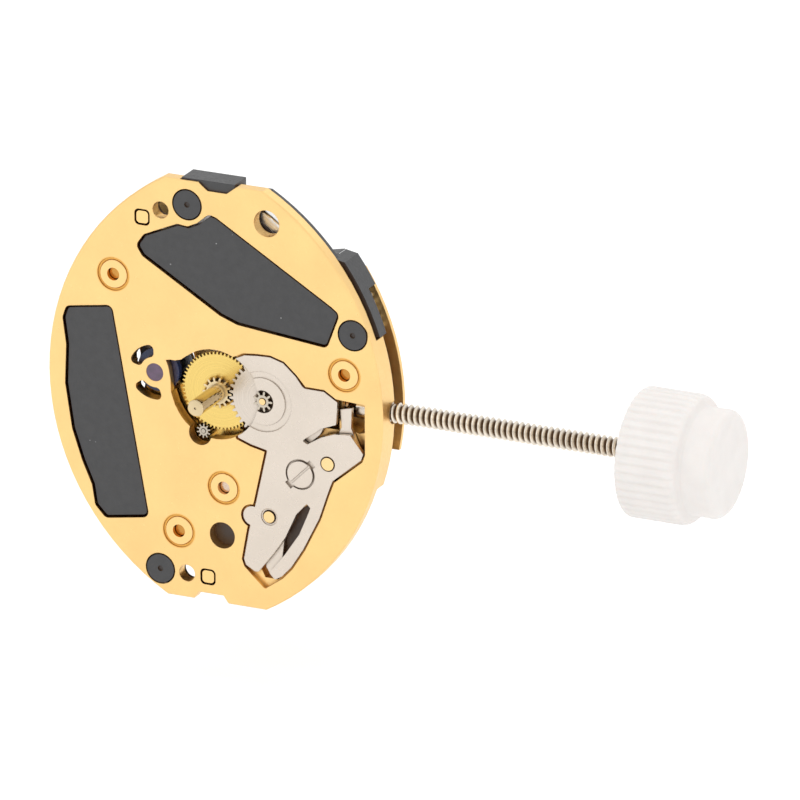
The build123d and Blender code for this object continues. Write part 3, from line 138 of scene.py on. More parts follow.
CAMERA_WAY = (0.41251, -0.84355, 0.34388)
CAMERA_ROLL = math.radians(-0.542)
CAMERA_DISTANCE = 500 * MM
VIEW_WIDTH = 32.004 * MM
VIEW_PIXELS = 800
VIEW_RIGHT = 185.22
VIEW_BELOW = 5.57
SENSOR_WIDTH = 36.0


# Settings that a user would change

def colour_setting(name, description, default):
    """A colour of one finish."""
    return FloatVectorProperty(name=name, description=description, default=default, size=3,
                               min=0.0, max=1.0, subtype="COLOR")


def length_setting(name, description, default, low, high):
    """A length in metres."""
    return FloatProperty(name=name, description=description, default=default, min=low, max=high,
                         precision=6, unit="LENGTH")


class MovementFinishes(bpy.types.PropertyGroup):
    """Colours of the movement's finishes."""

    gilt: colour_setting("Gilding", "Plating of the plates, bushes and train bridge", (0.98, 0.665, 0.280))
    # Painted shade: a darker orange for the ring over the groove round each bush
    painted_groove_shade: colour_setting("Gilt groove", "Floor of the grooves round the bushes", (0.86, 0.46, 0.11))
    gilt_shade: colour_setting("Gilt shade", "Tint of gaps in gilt pieces", (0.550, 0.210, 0.028))
    # Painted shade: the common tint laid into gaps, corners and thread roots
    painted_shade: colour_setting("Shade", "Tint of gaps, corners and thread roots", (0.060, 0.030, 0.012))
    brass: colour_setting("Turned brass", "Posts and the centre tube", (0.98, 0.70, 0.34))
    # Brass of the back screws, darkened with painted shade for tips that lie deep in the bushes
    screw_brass_with_painted_shade: colour_setting("Screw brass", "Back screws, deep in the bushes", (0.66, 0.34, 0.09))
    wheel_brass: colour_setting("Wheel brass", "Stamped wheels of the train", (0.88, 0.64, 0.20))
    nickel: colour_setting("Nickelled steel", "Setting bridge, levers and minute wheel", (0.73, 0.65, 0.565))
    steel: colour_setting("Turned steel", "Pinions and sliding pinion", (0.62, 0.55, 0.45))
    pipe_steel: colour_setting("Pipe", "Cannon pinion with the pipe for the hands", (0.80, 0.64, 0.39))
    stem_steel: colour_setting("Stem steel", "The long threaded stem", (0.88, 0.79, 0.67))
    screw_steel: colour_setting("Screw steel", "Screws of the coil and the train bridge", (0.66, 0.66, 0.67))
    spring_steel: colour_setting("Spring steel", "Battery strap and contact comb", (0.74, 0.72, 0.69))
    battery_steel: colour_setting("Battery steel", "Can and cap of the battery", (0.86, 0.85, 0.83))
    can_steel: colour_setting("Can steel", "Drawn can of the quartz", (0.74, 0.74, 0.75))
    soft_iron: colour_setting("Soft iron", "Stator and the coil's core", (0.46, 0.46, 0.48))
    magnet: colour_setting("Magnet", "Sintered magnet of the rotor", (0.10, 0.10, 0.11))
    contact_gilt: colour_setting("Gilt contact", "Contact under the battery's cap", (0.86, 0.60, 0.26))
    copper: colour_setting("Enamelled wire", "Winding of the coil", (0.62, 0.20, 0.06))
    black_plastic: colour_setting("Black plastic", "Frame, plugs and rim band", (0.056, 0.056, 0.058))
    white_plastic: colour_setting("White plastic", "Setting knob", (0.90, 0.86, 0.83))
    blue_plastic: colour_setting("Blue plastic", "Body of the rotor", (0.020, 0.035, 0.110))
    cheek_plastic: colour_setting("Cheek plastic", "Cheeks of the coil", (0.55, 0.50, 0.40))
    gasket: colour_setting("Gasket", "Ring between the battery's can and cap", (0.05, 0.05, 0.06))
    board: colour_setting("Circuit board", "Polyimide sheet", (0.16, 0.06, 0.015))
    resin: colour_setting("Resin", "Drop over the chip", (0.012, 0.012, 0.013))
    ruby: colour_setting("Jewel", "Ruby of the bearings", (0.120, 0.055, 0.125))


class StemSizes(bpy.types.PropertyGroup):
    """Sizes of the stem's thread, measured along +X from the hand arbor."""

    pitch: length_setting("Pitch", "Rise of the thread in one turn", 0.255 * MM, 0.1 * MM, 1.0 * MM)
    crest: length_setting("Crest radius", "Outer radius of the thread", 0.425 * MM, 0.2 * MM, 1.0 * MM)
    root: length_setting("Root radius", "Inner radius of the thread", 0.300 * MM, 0.1 * MM, 1.0 * MM)
    start: length_setting("Thread start", "Where the thread begins", 7.30 * MM, 6.0 * MM, 9.0 * MM)


class KnobSizes(bpy.types.PropertyGroup):
    """Sizes of the setting knob."""

    flutes: IntProperty(name="Flutes", description="Grooves round the grip", default=44, min=12, max=90)
    flute_depth: length_setting("Flute depth", "Depth of one groove", 0.060 * MM, 0.0, 0.3 * MM)
    bore: length_setting("Bore radius", "Hole for the stem", 0.43 * MM, 0.3 * MM, 1.0 * MM)
    bore_depth: length_setting("Bore depth", "How far the stem enters", 2.20 * MM, 0.5 * MM, 3.0 * MM)
    grip: length_setting("Grip length", "Length of the fluted part", 2.70 * MM, 1.0 * MM, 4.0 * MM)
    boss: length_setting("Boss radius", "Radius of the smooth end", 2.19 * MM, 1.0 * MM, 3.0 * MM)


class CoilSizes(bpy.types.PropertyGroup):
    """Sizes of the coil's winding."""

    length: length_setting("Length", "Length of the winding", 5.40 * MM, 1.0 * MM, 8.0 * MM)
    radius: length_setting("Radius", "Outer radius of the winding", 0.62 * MM, 0.3 * MM, 1.0 * MM)
    tilt: FloatProperty(name="Tilt", description="Lean of the coil from upright", default=math.radians(10.4),
                        subtype="ANGLE")
    wire: length_setting("Wire", "Distance between neighbouring turns", 0.060 * MM, 0.02 * MM, 0.3 * MM)
    relief: length_setting("Relief", "Height of the turns over their gaps", 0.016 * MM, 0.0, 0.1 * MM)


class StageSettings(bpy.types.PropertyGroup):
    """Light and floor of the stage."""

    floor_drop: length_setting("Floor", "Height of the floor under the origin", 12.5 * MM, 8.95 * MM, 0.1)
    surround: FloatProperty(name="Surround", description="Level of the light from all round",
                            default=0.95, min=0.0, max=2.0)
    floor_lift: FloatProperty(name="Floor lift", description="What the paper floor adds of its own white",
                              default=0.20, min=0.0, max=1.0)
    key: FloatProperty(name="Key light", description="Level of the large soft light at the upper left",
                       default=0.055, min=0.0, max=10.0, unit="POWER")


# Meshes

class Solid:
    """Points and faces of one mesh while it is drawn."""

    def __init__(self):
        self.verts = []
        self.faces = []

    def ring(self, points):
        """Adds points and returns their numbers."""
        first = len(self.verts)
        self.verts.extend(points)
        return list(range(first, first + len(points)))

    def band(self, one, other):
        """Joins two rings of as many points."""
        count = len(one)
        for i in range(count):
            j = (i + 1) % count
            self.faces.append((one[i], one[j], other[j], other[i]))

    def cap(self, ring):
        """Closes a ring with one face."""
        self.faces.append(tuple(ring))

    def skin(self, rings):
        """Joins rings in their order and closes the first and the last."""
        for one, other in zip(rings, rings[1:]):
            self.band(one, other)
        self.cap(rings[0])
        self.cap(rings[-1])


def piece_from(name, solid, finish, body, node):
    """A piece in the frame's place, riding on its body and standing for a CAD node."""
    mesh = bpy.data.meshes.new(name)
    mesh.from_pydata([tuple(vert) for vert in solid.verts], [], solid.faces)
    mesh.validate()
    outward = bmesh.new()
    outward.from_mesh(mesh)
    bmesh.ops.recalc_face_normals(outward, faces=outward.faces)
    outward.to_mesh(mesh)
    outward.free()
    mesh.polygons.foreach_set("use_smooth", [True] * len(mesh.polygons))
    piece = bpy.data.objects.new(name, mesh)
    bpy.context.scene.collection.objects.link(piece)
    mesh.materials.append(finish)
    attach(piece, body)
    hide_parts(node)
    return piece


def crisp(piece, degrees):
    """Sharp edges where the surface turns by more than an angle."""
    mesh = piece.data
    edges = bmesh.new()
    edges.from_mesh(mesh)
    for edge in edges.edges:
        if len(edge.link_faces) == 2:
            edge.smooth = edge.calc_face_angle(0.0) < math.radians(degrees)
        else:
            edge.smooth = False
    edges.to_mesh(mesh)
    edges.free()


def stem_depth():
    """How far the stem's axis lies behind the dial face."""
    low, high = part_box("stem")
    return (low.y + high.y) / 2


def stem_ring(x, radius_at, segments):
    """Ring of points square to the stem; radius_at gives the radius at an angle."""
    depth = stem_depth()
    points = []
    for i in range(segments):
        angle = 2 * math.pi * i / segments
        radius = radius_at(angle)
        points.append((x, depth + radius * math.cos(angle), radius * math.sin(angle)))
    return points


def round_ring(x, radius, segments):
    """Ring of points square to the stem, of one radius."""
    return stem_ring(x, lambda angle: radius, segments)


def turned(solid, outline, segments):
    """Body of revolution on the stem's axis from (distance, radius) steps, closed at both ends."""
    solid.skin([solid.ring(round_ring(x, radius, segments)) for x, radius in outline])


def quarter_turn(steps):
    """Sine, cosine and share done at each step of a quarter turn."""
    for i in range(1, steps + 1):
        angle = math.pi / 2 * i / steps
        yield math.sin(angle), math.cos(angle), i / steps


def dial_centre(node):
    """Centre of a node in the dial's plane, in millimetres."""
    low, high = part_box(node)
    return (low.x + high.x) / 2 / MM, (low.z + high.z) / 2 / MM


# Nodes that the finishes share

def finish_nodes(name):
    """A new finish: its material, nodes, links, shader, and coordinates in millimetres."""
    finish = bpy.data.materials.new(name)
    finish.use_nodes = True
    nodes = finish.node_tree.nodes
    links = finish.node_tree.links
    shader = nodes["Principled BSDF"]
    place = nodes.new("ShaderNodeTexCoord")
    scale = nodes.new("ShaderNodeMapping")
    scale.inputs["Scale"].default_value = (1 / MM, 1 / MM, 1 / MM)
    links.new(place.outputs["Object"], scale.inputs["Vector"])
    return finish, nodes, links, shader, scale.outputs["Vector"]


def noise(nodes, links, vector, scale, detail=4.0, stretch=None):
    """Noise at so many grains in a millimetre, drawn out along an axis if asked."""
    if stretch is not None:
        drawn = nodes.new("ShaderNodeMapping")
        drawn.inputs["Scale"].default_value = stretch
        links.new(vector, drawn.inputs["Vector"])
        vector = drawn.outputs["Vector"]
    grain = nodes.new("ShaderNodeTexNoise")
    grain.inputs["Scale"].default_value = scale
    grain.inputs["Detail"].default_value = detail
    links.new(vector, grain.inputs["Vector"])
    return grain.outputs["Fac"]


def ranged(nodes, links, source, low, high, start=0.3, end=0.7):
    """A source brought from its own range, that of a noise unless given, into another."""
    span = nodes.new("ShaderNodeMapRange")
    span.inputs["From Min"].default_value = start
    span.inputs["From Max"].default_value = end
    span.inputs["To Min"].default_value = low
    span.inputs["To Max"].default_value = high
    links.new(source, span.inputs["Value"])
    return span.outputs["Result"]


def scaled(nodes, links, share, low, high):
    """A share, from nought to one, brought into a range."""
    return ranged(nodes, links, share, low, high, 0.0, 1.0)


def tinted(nodes, links, source, one, other):
    """Colour between two, by a source."""
    mix = nodes.new("ShaderNodeMix")
    mix.data_type = "RGBA"
    mix.inputs["A"].default_value = (*one, 1)
    mix.inputs["B"].default_value = (*other, 1)
    links.new(source, mix.inputs["Factor"])
    return mix.outputs["Result"]


def laid_over(nodes, links, under, colour, share):
    """A flat colour over a linked one, where a share says."""
    mix = nodes.new("ShaderNodeMix")
    mix.data_type = "RGBA"
    mix.inputs["B"].default_value = (*colour, 1)
    links.new(under, mix.inputs["A"])
    links.new(share, mix.inputs["Factor"])
    return mix.outputs["Result"]


def shaded(nodes, links, colour, reach, depth=1.0, tint=None):
    """A colour with painted shade: it falls to a tint, or the common painted shade, in gaps narrower than a
    reach in metres.
    """
    tint = tint or bpy.context.scene.movement_finishes.painted_shade
    shut, open_from = 0.15, 0.80
    corner = nodes.new("ShaderNodeAmbientOcclusion")
    corner.samples = 8
    corner.inputs["Distance"].default_value = reach
    closed = ranged(nodes, links, corner.outputs["AO"], depth, 0.0, shut, open_from)
    return laid_over(nodes, links, colour, tint, closed)


def relief(nodes, links, shader, source, height, strength=1.0, edge=ROUNDED_EDGE):
    """Fine relief of a height in metres, over edges rounded to a radius."""
    bump = nodes.new("ShaderNodeBump")
    rounded = nodes.new("ShaderNodeBevel")
    rounded.samples = 4
    rounded.inputs["Radius"].default_value = edge
    links.new(rounded.outputs["Normal"], bump.inputs["Normal"])
    bump.inputs["Distance"].default_value = height
    bump.inputs["Strength"].default_value = strength
    links.new(source, bump.inputs["Height"])
    links.new(bump.outputs["Normal"], shader.inputs["Normal"])


def axis_distance(nodes, links, place, centre, across):
    """Distance in millimetres from an axis through a centre; across is 1 square to it and 0 along it."""
    offset = nodes.new("ShaderNodeVectorMath")
    offset.operation = "SUBTRACT"
    offset.inputs[1].default_value = centre
    links.new(place, offset.inputs[0])
    flat = nodes.new("ShaderNodeVectorMath")
    flat.operation = "MULTIPLY"
    flat.inputs[1].default_value = across
    links.new(offset.outputs["Vector"], flat.inputs[0])
    length = nodes.new("ShaderNodeVectorMath")
    length.operation = "LENGTH"
    links.new(flat.outputs["Vector"], length.inputs[0])
    return length.outputs["Value"]


def dial_distance(nodes, links, place, centre):
    """Distance in millimetres from an axis square to the dial."""
    return axis_distance(nodes, links, place, (centre[0], 0, centre[1]), (1, 0, 1))


def specks(nodes, links, place, spacing, radius):
    """One where a sparse light speck lies, nought elsewhere; both sizes in millimetres."""
    cells = nodes.new("ShaderNodeTexVoronoi")
    cells.inputs["Scale"].default_value = 1 / spacing
    links.new(place, cells.inputs["Vector"])
    size = radius / spacing
    core = 0.6
    return ranged(nodes, links, cells.outputs["Distance"], 1.0, 0.0, size * core, size)


def seen_by_eye(nodes, links):
    """One for what the eye sees straight, in a gloss or through a clear piece, nought for plain light."""
    path = nodes.new("ShaderNodeLightPath")
    seen = path.outputs["Is Camera Ray"]
    for way in ("Is Glossy Ray", "Is Transmission Ray"):
        both = nodes.new("ShaderNodeMath")
        both.operation = "MAXIMUM"
        links.new(seen, both.inputs[0])
        links.new(path.outputs[way], both.inputs[1])
        seen = both.outputs["Value"]
    return seen


def shade(colour, share):
    """A colour made darker or lighter."""
    return tuple(max(0.0, min(1.0, part * share)) for part in colour)


# Finishes, in which grain counts the marks in a millimetre and height is their relief in metres

def metal(name, colour, *, rough, spread, grain, height, drift=0.90, stretch=None, reach=METAL_GAP,
          depth=1.0, tint=None, patches=(), edge=ROUNDED_EDGE):
    """Metal with a slow drift of tone, worked gloss, fine marks and painted shade in its gaps.

    A patch is another colour within a radius of a place in the dial's plane, both in millimetres.
    """
    finish, nodes, links, shader, place = finish_nodes(name)
    shader.inputs["Metallic"].default_value = 1.0
    slow_grain = 0.45
    patch_fade = 1.1
    tone = ranged(nodes, links, noise(nodes, links, place, slow_grain), 0.0, 1.0)
    face = tinted(nodes, links, tone, colour, shade(colour, drift))
    for centre, radius, other in patches:
        from_centre = dial_distance(nodes, links, place, centre)
        inside = ranged(nodes, links, from_centre, 1.0, 0.0, radius, radius * patch_fade)
        face = laid_over(nodes, links, face, other, inside)
    # Painted shade: the face falls to a tint in gaps narrower than the reach
    links.new(shaded(nodes, links, face, reach, depth, tint), shader.inputs["Base Color"])
    marks = noise(nodes, links, place, grain, stretch=stretch)
    links.new(ranged(nodes, links, marks, rough - spread, rough + spread), shader.inputs["Roughness"])
    relief(nodes, links, shader, marks, height, edge=edge)
    return finish


def ring_brushed(name, colour, centre, *, rough, pitch, depth=1.0, tint=None):
    """Metal turned on a lathe: fine rings of a pitch in millimetres round a centre in the dial's plane."""
    finish, nodes, links, shader, place = finish_nodes(name)
    shader.inputs["Metallic"].default_value = 1.0
    drift = 0.88
    duller, glossier = 0.08, 0.06
    ring_height, ring_strength = 0.002 * MM, 0.6
    rings = nodes.new("ShaderNodeTexNoise")
    rings.noise_dimensions = "1D"
    rings.inputs["Scale"].default_value = 1 / pitch
    rings.inputs["Detail"].default_value = 3.0
    links.new(dial_distance(nodes, links, place, centre), rings.inputs["W"])
    tone = ranged(nodes, links, rings.outputs["Fac"], 0.0, 1.0)
    face = tinted(nodes, links, tone, colour, shade(colour, drift))
    # Painted shade in gaps narrower than the common reach for metal
    links.new(shaded(nodes, links, face, METAL_GAP, depth, tint), shader.inputs["Base Color"])
    links.new(ranged(nodes, links, rings.outputs["Fac"], rough - glossier, rough + duller),
              shader.inputs["Roughness"])
    relief(nodes, links, shader, rings.outputs["Fac"], ring_height, strength=ring_strength)
    return finish


def plastic(name, colour, *, rough, grain, height, speck=0.8, subsurface=0.0, dust=0.0, reach=PLASTIC_GAP,
            tint=None):
    """Moulded plastic with a fine spark-eroded grain, and specks of filler if asked."""
    finish, nodes, links, shader, place = finish_nodes(name)
    cloud_share, cloud_detail = 0.3, 5.0
    cloud_start, cloud_end = 0.35, 0.65
    gloss_spread = 0.08
    dust_spacing, dust_radius = 0.8, 0.028
    clouds = noise(nodes, links, place, grain * cloud_share, cloud_detail)
    tone = ranged(nodes, links, clouds, 0.0, 1.0, cloud_start, cloud_end)
    face = tinted(nodes, links, tone, colour, shade(colour, speck))
    if dust:
        dusty = specks(nodes, links, place, dust_spacing, dust_radius)
        face = laid_over(nodes, links, face, (dust, dust, dust), dusty)
    # Painted shade in gaps, only on plastic that lets no light in
    if not subsurface:
        face = shaded(nodes, links, face, reach, tint=tint)
    links.new(face, shader.inputs["Base Color"])
    marks = noise(nodes, links, place, grain)
    links.new(ranged(nodes, links, marks, rough - gloss_spread, rough + gloss_spread),
              shader.inputs["Roughness"])
    relief(nodes, links, shader, marks, height)
    if subsurface:
        shader.inputs["Subsurface Weight"].default_value = subsurface
        shader.inputs["Subsurface Radius"].default_value = (0.6, 0.5, 0.45)
        shader.inputs["Subsurface Scale"].default_value = 0.4 * MM
    return finish


def polished_ruby(name, colour):
    """Dark polished ruby."""
    finish, nodes, links, shader, place = finish_nodes(name)
    cloud_grain, cloud_detail, darker = 3.0, 2.0, 0.6
    glossiest, dullest = 0.04, 0.10
    tone = ranged(nodes, links, noise(nodes, links, place, cloud_grain, cloud_detail), 0.0, 1.0)
    links.new(tinted(nodes, links, tone, colour, shade(colour, darker)), shader.inputs["Base Color"])
    links.new(scaled(nodes, links, tone, glossiest, dullest), shader.inputs["Roughness"])
    shader.inputs["Coat Weight"].default_value = 1.0
    return finish


def enamelled_wire(name, colour):
    """Copper wire under a clear coat of enamel."""
    finish, nodes, links, shader, place = finish_nodes(name)
    cloud_grain, cloud_detail, darker = 1.6, 5.0, 0.6
    glossiest, dullest = 0.22, 0.36
    tone = ranged(nodes, links, noise(nodes, links, place, cloud_grain, cloud_detail), 0.0, 1.0)
    links.new(tinted(nodes, links, tone, colour, shade(colour, darker)), shader.inputs["Base Color"])
    shader.inputs["Metallic"].default_value = 0.75
    links.new(scaled(nodes, links, tone, glossiest, dullest), shader.inputs["Roughness"])
    shader.inputs["Coat Weight"].default_value = 0.6
    return finish


def threaded_steel(name, colour, shadow, root, crest):
    """Turned steel with painted shade in the thread roots; root and crest are the thread's radii in metres.
    """
    finish, nodes, links, shader, place = finish_nodes(name)
    shader.inputs["Metallic"].default_value = 1.0
    cloud_grain, fine_grain, darker = 2.0, 8.0, 0.80
    glossiest, dullest = 0.16, 0.28
    flank_share = 0.65
    tone = ranged(nodes, links, noise(nodes, links, place, cloud_grain), 0.0, 1.0)
    face = tinted(nodes, links, tone, colour, shade(colour, darker))
    from_axis = axis_distance(nodes, links, place, (0, stem_depth() / MM, 0), (0, 1, 1))
    flank = root + (crest - root) * flank_share
    # Painted shade over the thread roots, fading out partway up the flanks
    root_shade_share = ranged(nodes, links, from_axis, 1.0, 0.0, root / MM, flank / MM)
    links.new(laid_over(nodes, links, face, shadow, root_shade_share), shader.inputs["Base Color"])
    links.new(scaled(nodes, links, tone, glossiest, dullest), shader.inputs["Roughness"])
    relief(nodes, links, shader, noise(nodes, links, place, fine_grain), 0.002 * MM)
    return finish


def dress(finish, *names):
    """Gives CAD nodes their finish."""
    for name in names:
        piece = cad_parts[name]
        piece.data.materials.clear()
        piece.data.materials.append(finish)


# Operators, one for each group of like pieces

class MOVEMENT_OT_plates(bpy.types.Operator):
    """Gild the plates, the foot posts and the bushes, and finish the brass posts and back screws."""

    bl_idname = "movement.plates"
    bl_label = "Gilt plates"

    def execute(self, context):
        finishes = context.scene.movement_finishes
        deep = finishes.gilt_shade
        low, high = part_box("main_plate")
        half_height = (high.z - low.z) / 2 / MM
        bushes = [(x * half_height, z * half_height) for x, z in BUSH_SHARES]
        # Painted shade: a darker orange ring over the groove round each bush
        groove_shades = [(bush, BUSH_GROOVE_REACH, finishes.painted_groove_shade) for bush in bushes]
        dress(metal("gilt_plate", finishes.gilt, rough=0.34, spread=0.07, grain=7.0, height=0.004 * MM,
                    drift=0.92, reach=0.45 * MM, tint=shade(deep, 0.6), patches=groove_shades, edge=0.05 * MM),
              "main_plate")
        dress(metal("gilt_bushes", finishes.gilt, rough=0.16, spread=0.05, grain=5.0, height=0.002 * MM,
                    drift=0.92, reach=0.5 * MM, tint=deep),
              "foot_posts", "screw_bushes")
        dress(metal("gilt_back", finishes.gilt, rough=0.42, spread=0.08, grain=5.0, height=0.005 * MM,
                    stretch=(0.15, 1.0, 2.4), depth=0.25, tint=deep),
              "train_bridge", "back_plate")
        dress(metal("turned_brass", finishes.brass, rough=0.24, spread=0.07, grain=9.0, height=0.003 * MM,
                    tint=deep),
              "setting_lever_post", "yoke_post", "minute_wheel_post", "centre_tube")
        bright_screw = (bushes[BRIGHT_BUSH], BUSH_SCREW_REACH, finishes.nickel)
        # Back screws in brass darkened with painted shade for their sunken tips; one screw is bright steel
        dress(metal("screw_brass_with_painted_shade", finishes.screw_brass_with_painted_shade, rough=0.22, spread=0.08, grain=9.0,
                    height=0.004 * MM, drift=0.75, tint=deep, patches=[bright_screw]),
              "back_screws")
        return {"FINISHED"}


class MOVEMENT_OT_frame(bpy.types.Operator):
    """Finish the black plastic frame with its plugs and band."""

    bl_idname = "movement.frame"
    bl_label = "Plastic frame"

    def execute(self, context):
        finishes = context.scene.movement_finishes
        # Painted shade in the frame's holes and gaps up to a millimetre wide, in a dark warm brown
        dress(plastic("black_frame", finishes.black_plastic, rough=0.42, grain=9.0, height=0.008 * MM,
                      speck=0.88, dust=0.45, reach=1.0 * MM, tint=shade(finishes.gilt_shade, 0.14)),
              "plastic_frame")
        return {"FINISHED"}


class MOVEMENT_OT_setting_works(bpy.types.Operator):
    """Finish the setting bridge, its screw, the setting lever, the yoke and the sliding pinion."""

    bl_idname = "movement.setting_works"
    bl_label = "Setting works"

    def execute(self, context):
        finishes = context.scene.movement_finishes
        dress(metal("nickelled_steel", finishes.nickel, rough=0.30, spread=0.05, grain=4.0,
                    height=0.0008 * MM, drift=0.94, reach=0.22 * MM, depth=0.75, edge=0.05 * MM),
              "setting_bridge", "bridge_screw", "setting_lever", "yoke")
        dress(metal("turned_steel", finishes.steel, rough=0.24, spread=0.08, grain=8.0, height=0.003 * MM,
                    drift=0.80),
              "sliding_pinion")
        return {"FINISHED"}


class MOVEMENT_OT_train(bpy.types.Operator):
    """Finish the wheels, pinions, jewels and the rotor of the train."""

    bl_idname = "movement.train"
    bl_label = "Train"

    def execute(self, context):
        finishes = context.scene.movement_finishes
        for node in ("driving_wheel", "third_wheel", "intermediate_wheel"):
            dress(ring_brushed(node + "_brass", finishes.wheel_brass, dial_centre(node), rough=0.30,
                               pitch=0.030, tint=shade(finishes.gilt_shade, 0.6)),
                  node)
        dress(ring_brushed("minute_wheel_nickel", finishes.nickel, dial_centre("minute_wheel"), rough=0.32,
                           pitch=0.030),
              "minute_wheel")
        dress(metal("pinion_steel", finishes.steel, rough=0.13, spread=0.05, grain=9.0, height=0.001 * MM,
                    drift=0.80, reach=0.20 * MM),
              "minute_pinion", "third_pinion", "third_wheel_post", "intermediate_pinion")
        dress(metal("pipe_steel", finishes.pipe_steel, rough=0.10, spread=0.03, grain=7.0,
                    height=0.001 * MM, drift=0.75, reach=0.20 * MM),
              "cannon_pinion")
        dress(plastic("rotor_blue", finishes.blue_plastic, rough=0.28, grain=6.0, height=0.003 * MM),
              "rotor_pinion")
        dress(metal("sintered_magnet", finishes.magnet, rough=0.50, spread=0.10, grain=14.0,
                    height=0.006 * MM),
              "rotor_magnet")
        dress(polished_ruby("bearing_ruby", finishes.ruby), "rotor_jewel", "bridge_jewels")
        return {"FINISHED"}


class MOVEMENT_OT_stem(bpy.types.Operator):
    """Cut the stem: pilot, square, groove and the long thread."""

    bl_idname = "movement.stem"
    bl_label = "Stem"

    def execute(self, context):
        sizes = context.scene.movement_stem
        finishes = context.scene.movement_finishes
        low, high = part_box("stem")
        # Thread roots take painted shade, a little lighter than the common painted shade
        steel = threaded_steel("stem_steel", finishes.stem_steel, shade(finishes.painted_shade, 1.3),
                               sizes.root, sizes.crest)
        solid = Solid()
        self.front(solid, sizes, low.x)
        self.thread(solid, sizes, high.x)
        piece = piece_from("stem_cut", solid, steel, "stem", "stem")
        crisp(piece, degrees=40)
        return {"FINISHED"}

    def front(self, solid, sizes, start):
        """Pilot, square and grooved shaft, up to the thread."""
        turned(solid, [(start, PILOT_RADIUS * PILOT_NOSE_SHARE), (start + PILOT_NOSE, PILOT_RADIUS),
                       (PILOT_END, PILOT_RADIUS)], PILOT_SIDES)
        depth = stem_depth()
        side = SQUARE_HALF_SIDE
        square = [(side, side), (side, -side), (-side, -side), (-side, side)]
        solid.skin([solid.ring([(x, depth + y * share, z * share) for y, z in square])
                    for x, share in SQUARE_STEPS])
        cut = SHAFT_RADIUS - BROKEN_EDGE
        turned(solid, [
            (SHAFT_START, cut), (SHAFT_START + BROKEN_EDGE, SHAFT_RADIUS),
            (STEM_GROOVE_START - BROKEN_EDGE, SHAFT_RADIUS), (STEM_GROOVE_START, cut),
            (STEM_GROOVE_START, STEM_GROOVE_RADIUS), (STEM_GROOVE_END, STEM_GROOVE_RADIUS),
            (STEM_GROOVE_END, cut), (STEM_GROOVE_END + BROKEN_EDGE, SHAFT_RADIUS),
            (sizes.start - BROKEN_EDGE, SHAFT_RADIUS), (sizes.start + RUN_IN, sizes.root - BROKEN_EDGE),
        ], SHAFT_SIDES)

    def thread(self, solid, sizes, end):
        """The thread, of lines of points along the stem that each start a little further on."""
        depth = stem_depth()
        steps = len(THREAD_HEIGHTS)
        turns = int((end - sizes.start) / sizes.pitch) - 1
        rows = turns * steps
        lines = []
        for i in range(THREAD_SIDES):
            angle = 2 * math.pi * i / THREAD_SIDES
            points = []
            for j in range(rows + 1):
                turn = j / steps + i / THREAD_SIDES
                rise = min(1.0, turn / THREAD_RISE, (turns + THREAD_STOP - turn) / THREAD_RISE)
                height = THREAD_HEIGHTS[j % steps] * max(0.0, rise)
                radius = sizes.root + (sizes.crest - sizes.root) * height
                points.append((sizes.start + turn * sizes.pitch, depth + radius * math.cos(angle),
                               radius * math.sin(angle)))
            lines.append(solid.ring(points))
        for one, other in zip(lines, lines[1:]):
            for j in range(rows):
                solid.faces.append((one[j], other[j], other[j + 1], one[j + 1]))
        first = lines[0]
        last = lines[-1]
        for j in range(rows - steps):
            solid.faces.append((last[j], first[j + steps], first[j + steps + 1], last[j + 1]))
        front = solid.ring(round_ring(sizes.start, sizes.root, THREAD_SIDES))
        back = solid.ring(round_ring(sizes.start + (turns + 1) * sizes.pitch, sizes.root, THREAD_SIDES))
        for i in range(THREAD_SIDES - 1):
            solid.faces.append((front[i], front[i + 1], lines[i + 1][0], lines[i][0]))
            solid.faces.append((back[i], back[i + 1], lines[i + 1][rows], lines[i][rows]))
        solid.faces.append((front[-1], front[0], *first[:steps + 1], last[0]))
        solid.faces.append((back[0], back[-1], *reversed(last[rows - steps:]), first[rows]))
        solid.cap(front)
        solid.cap(back)


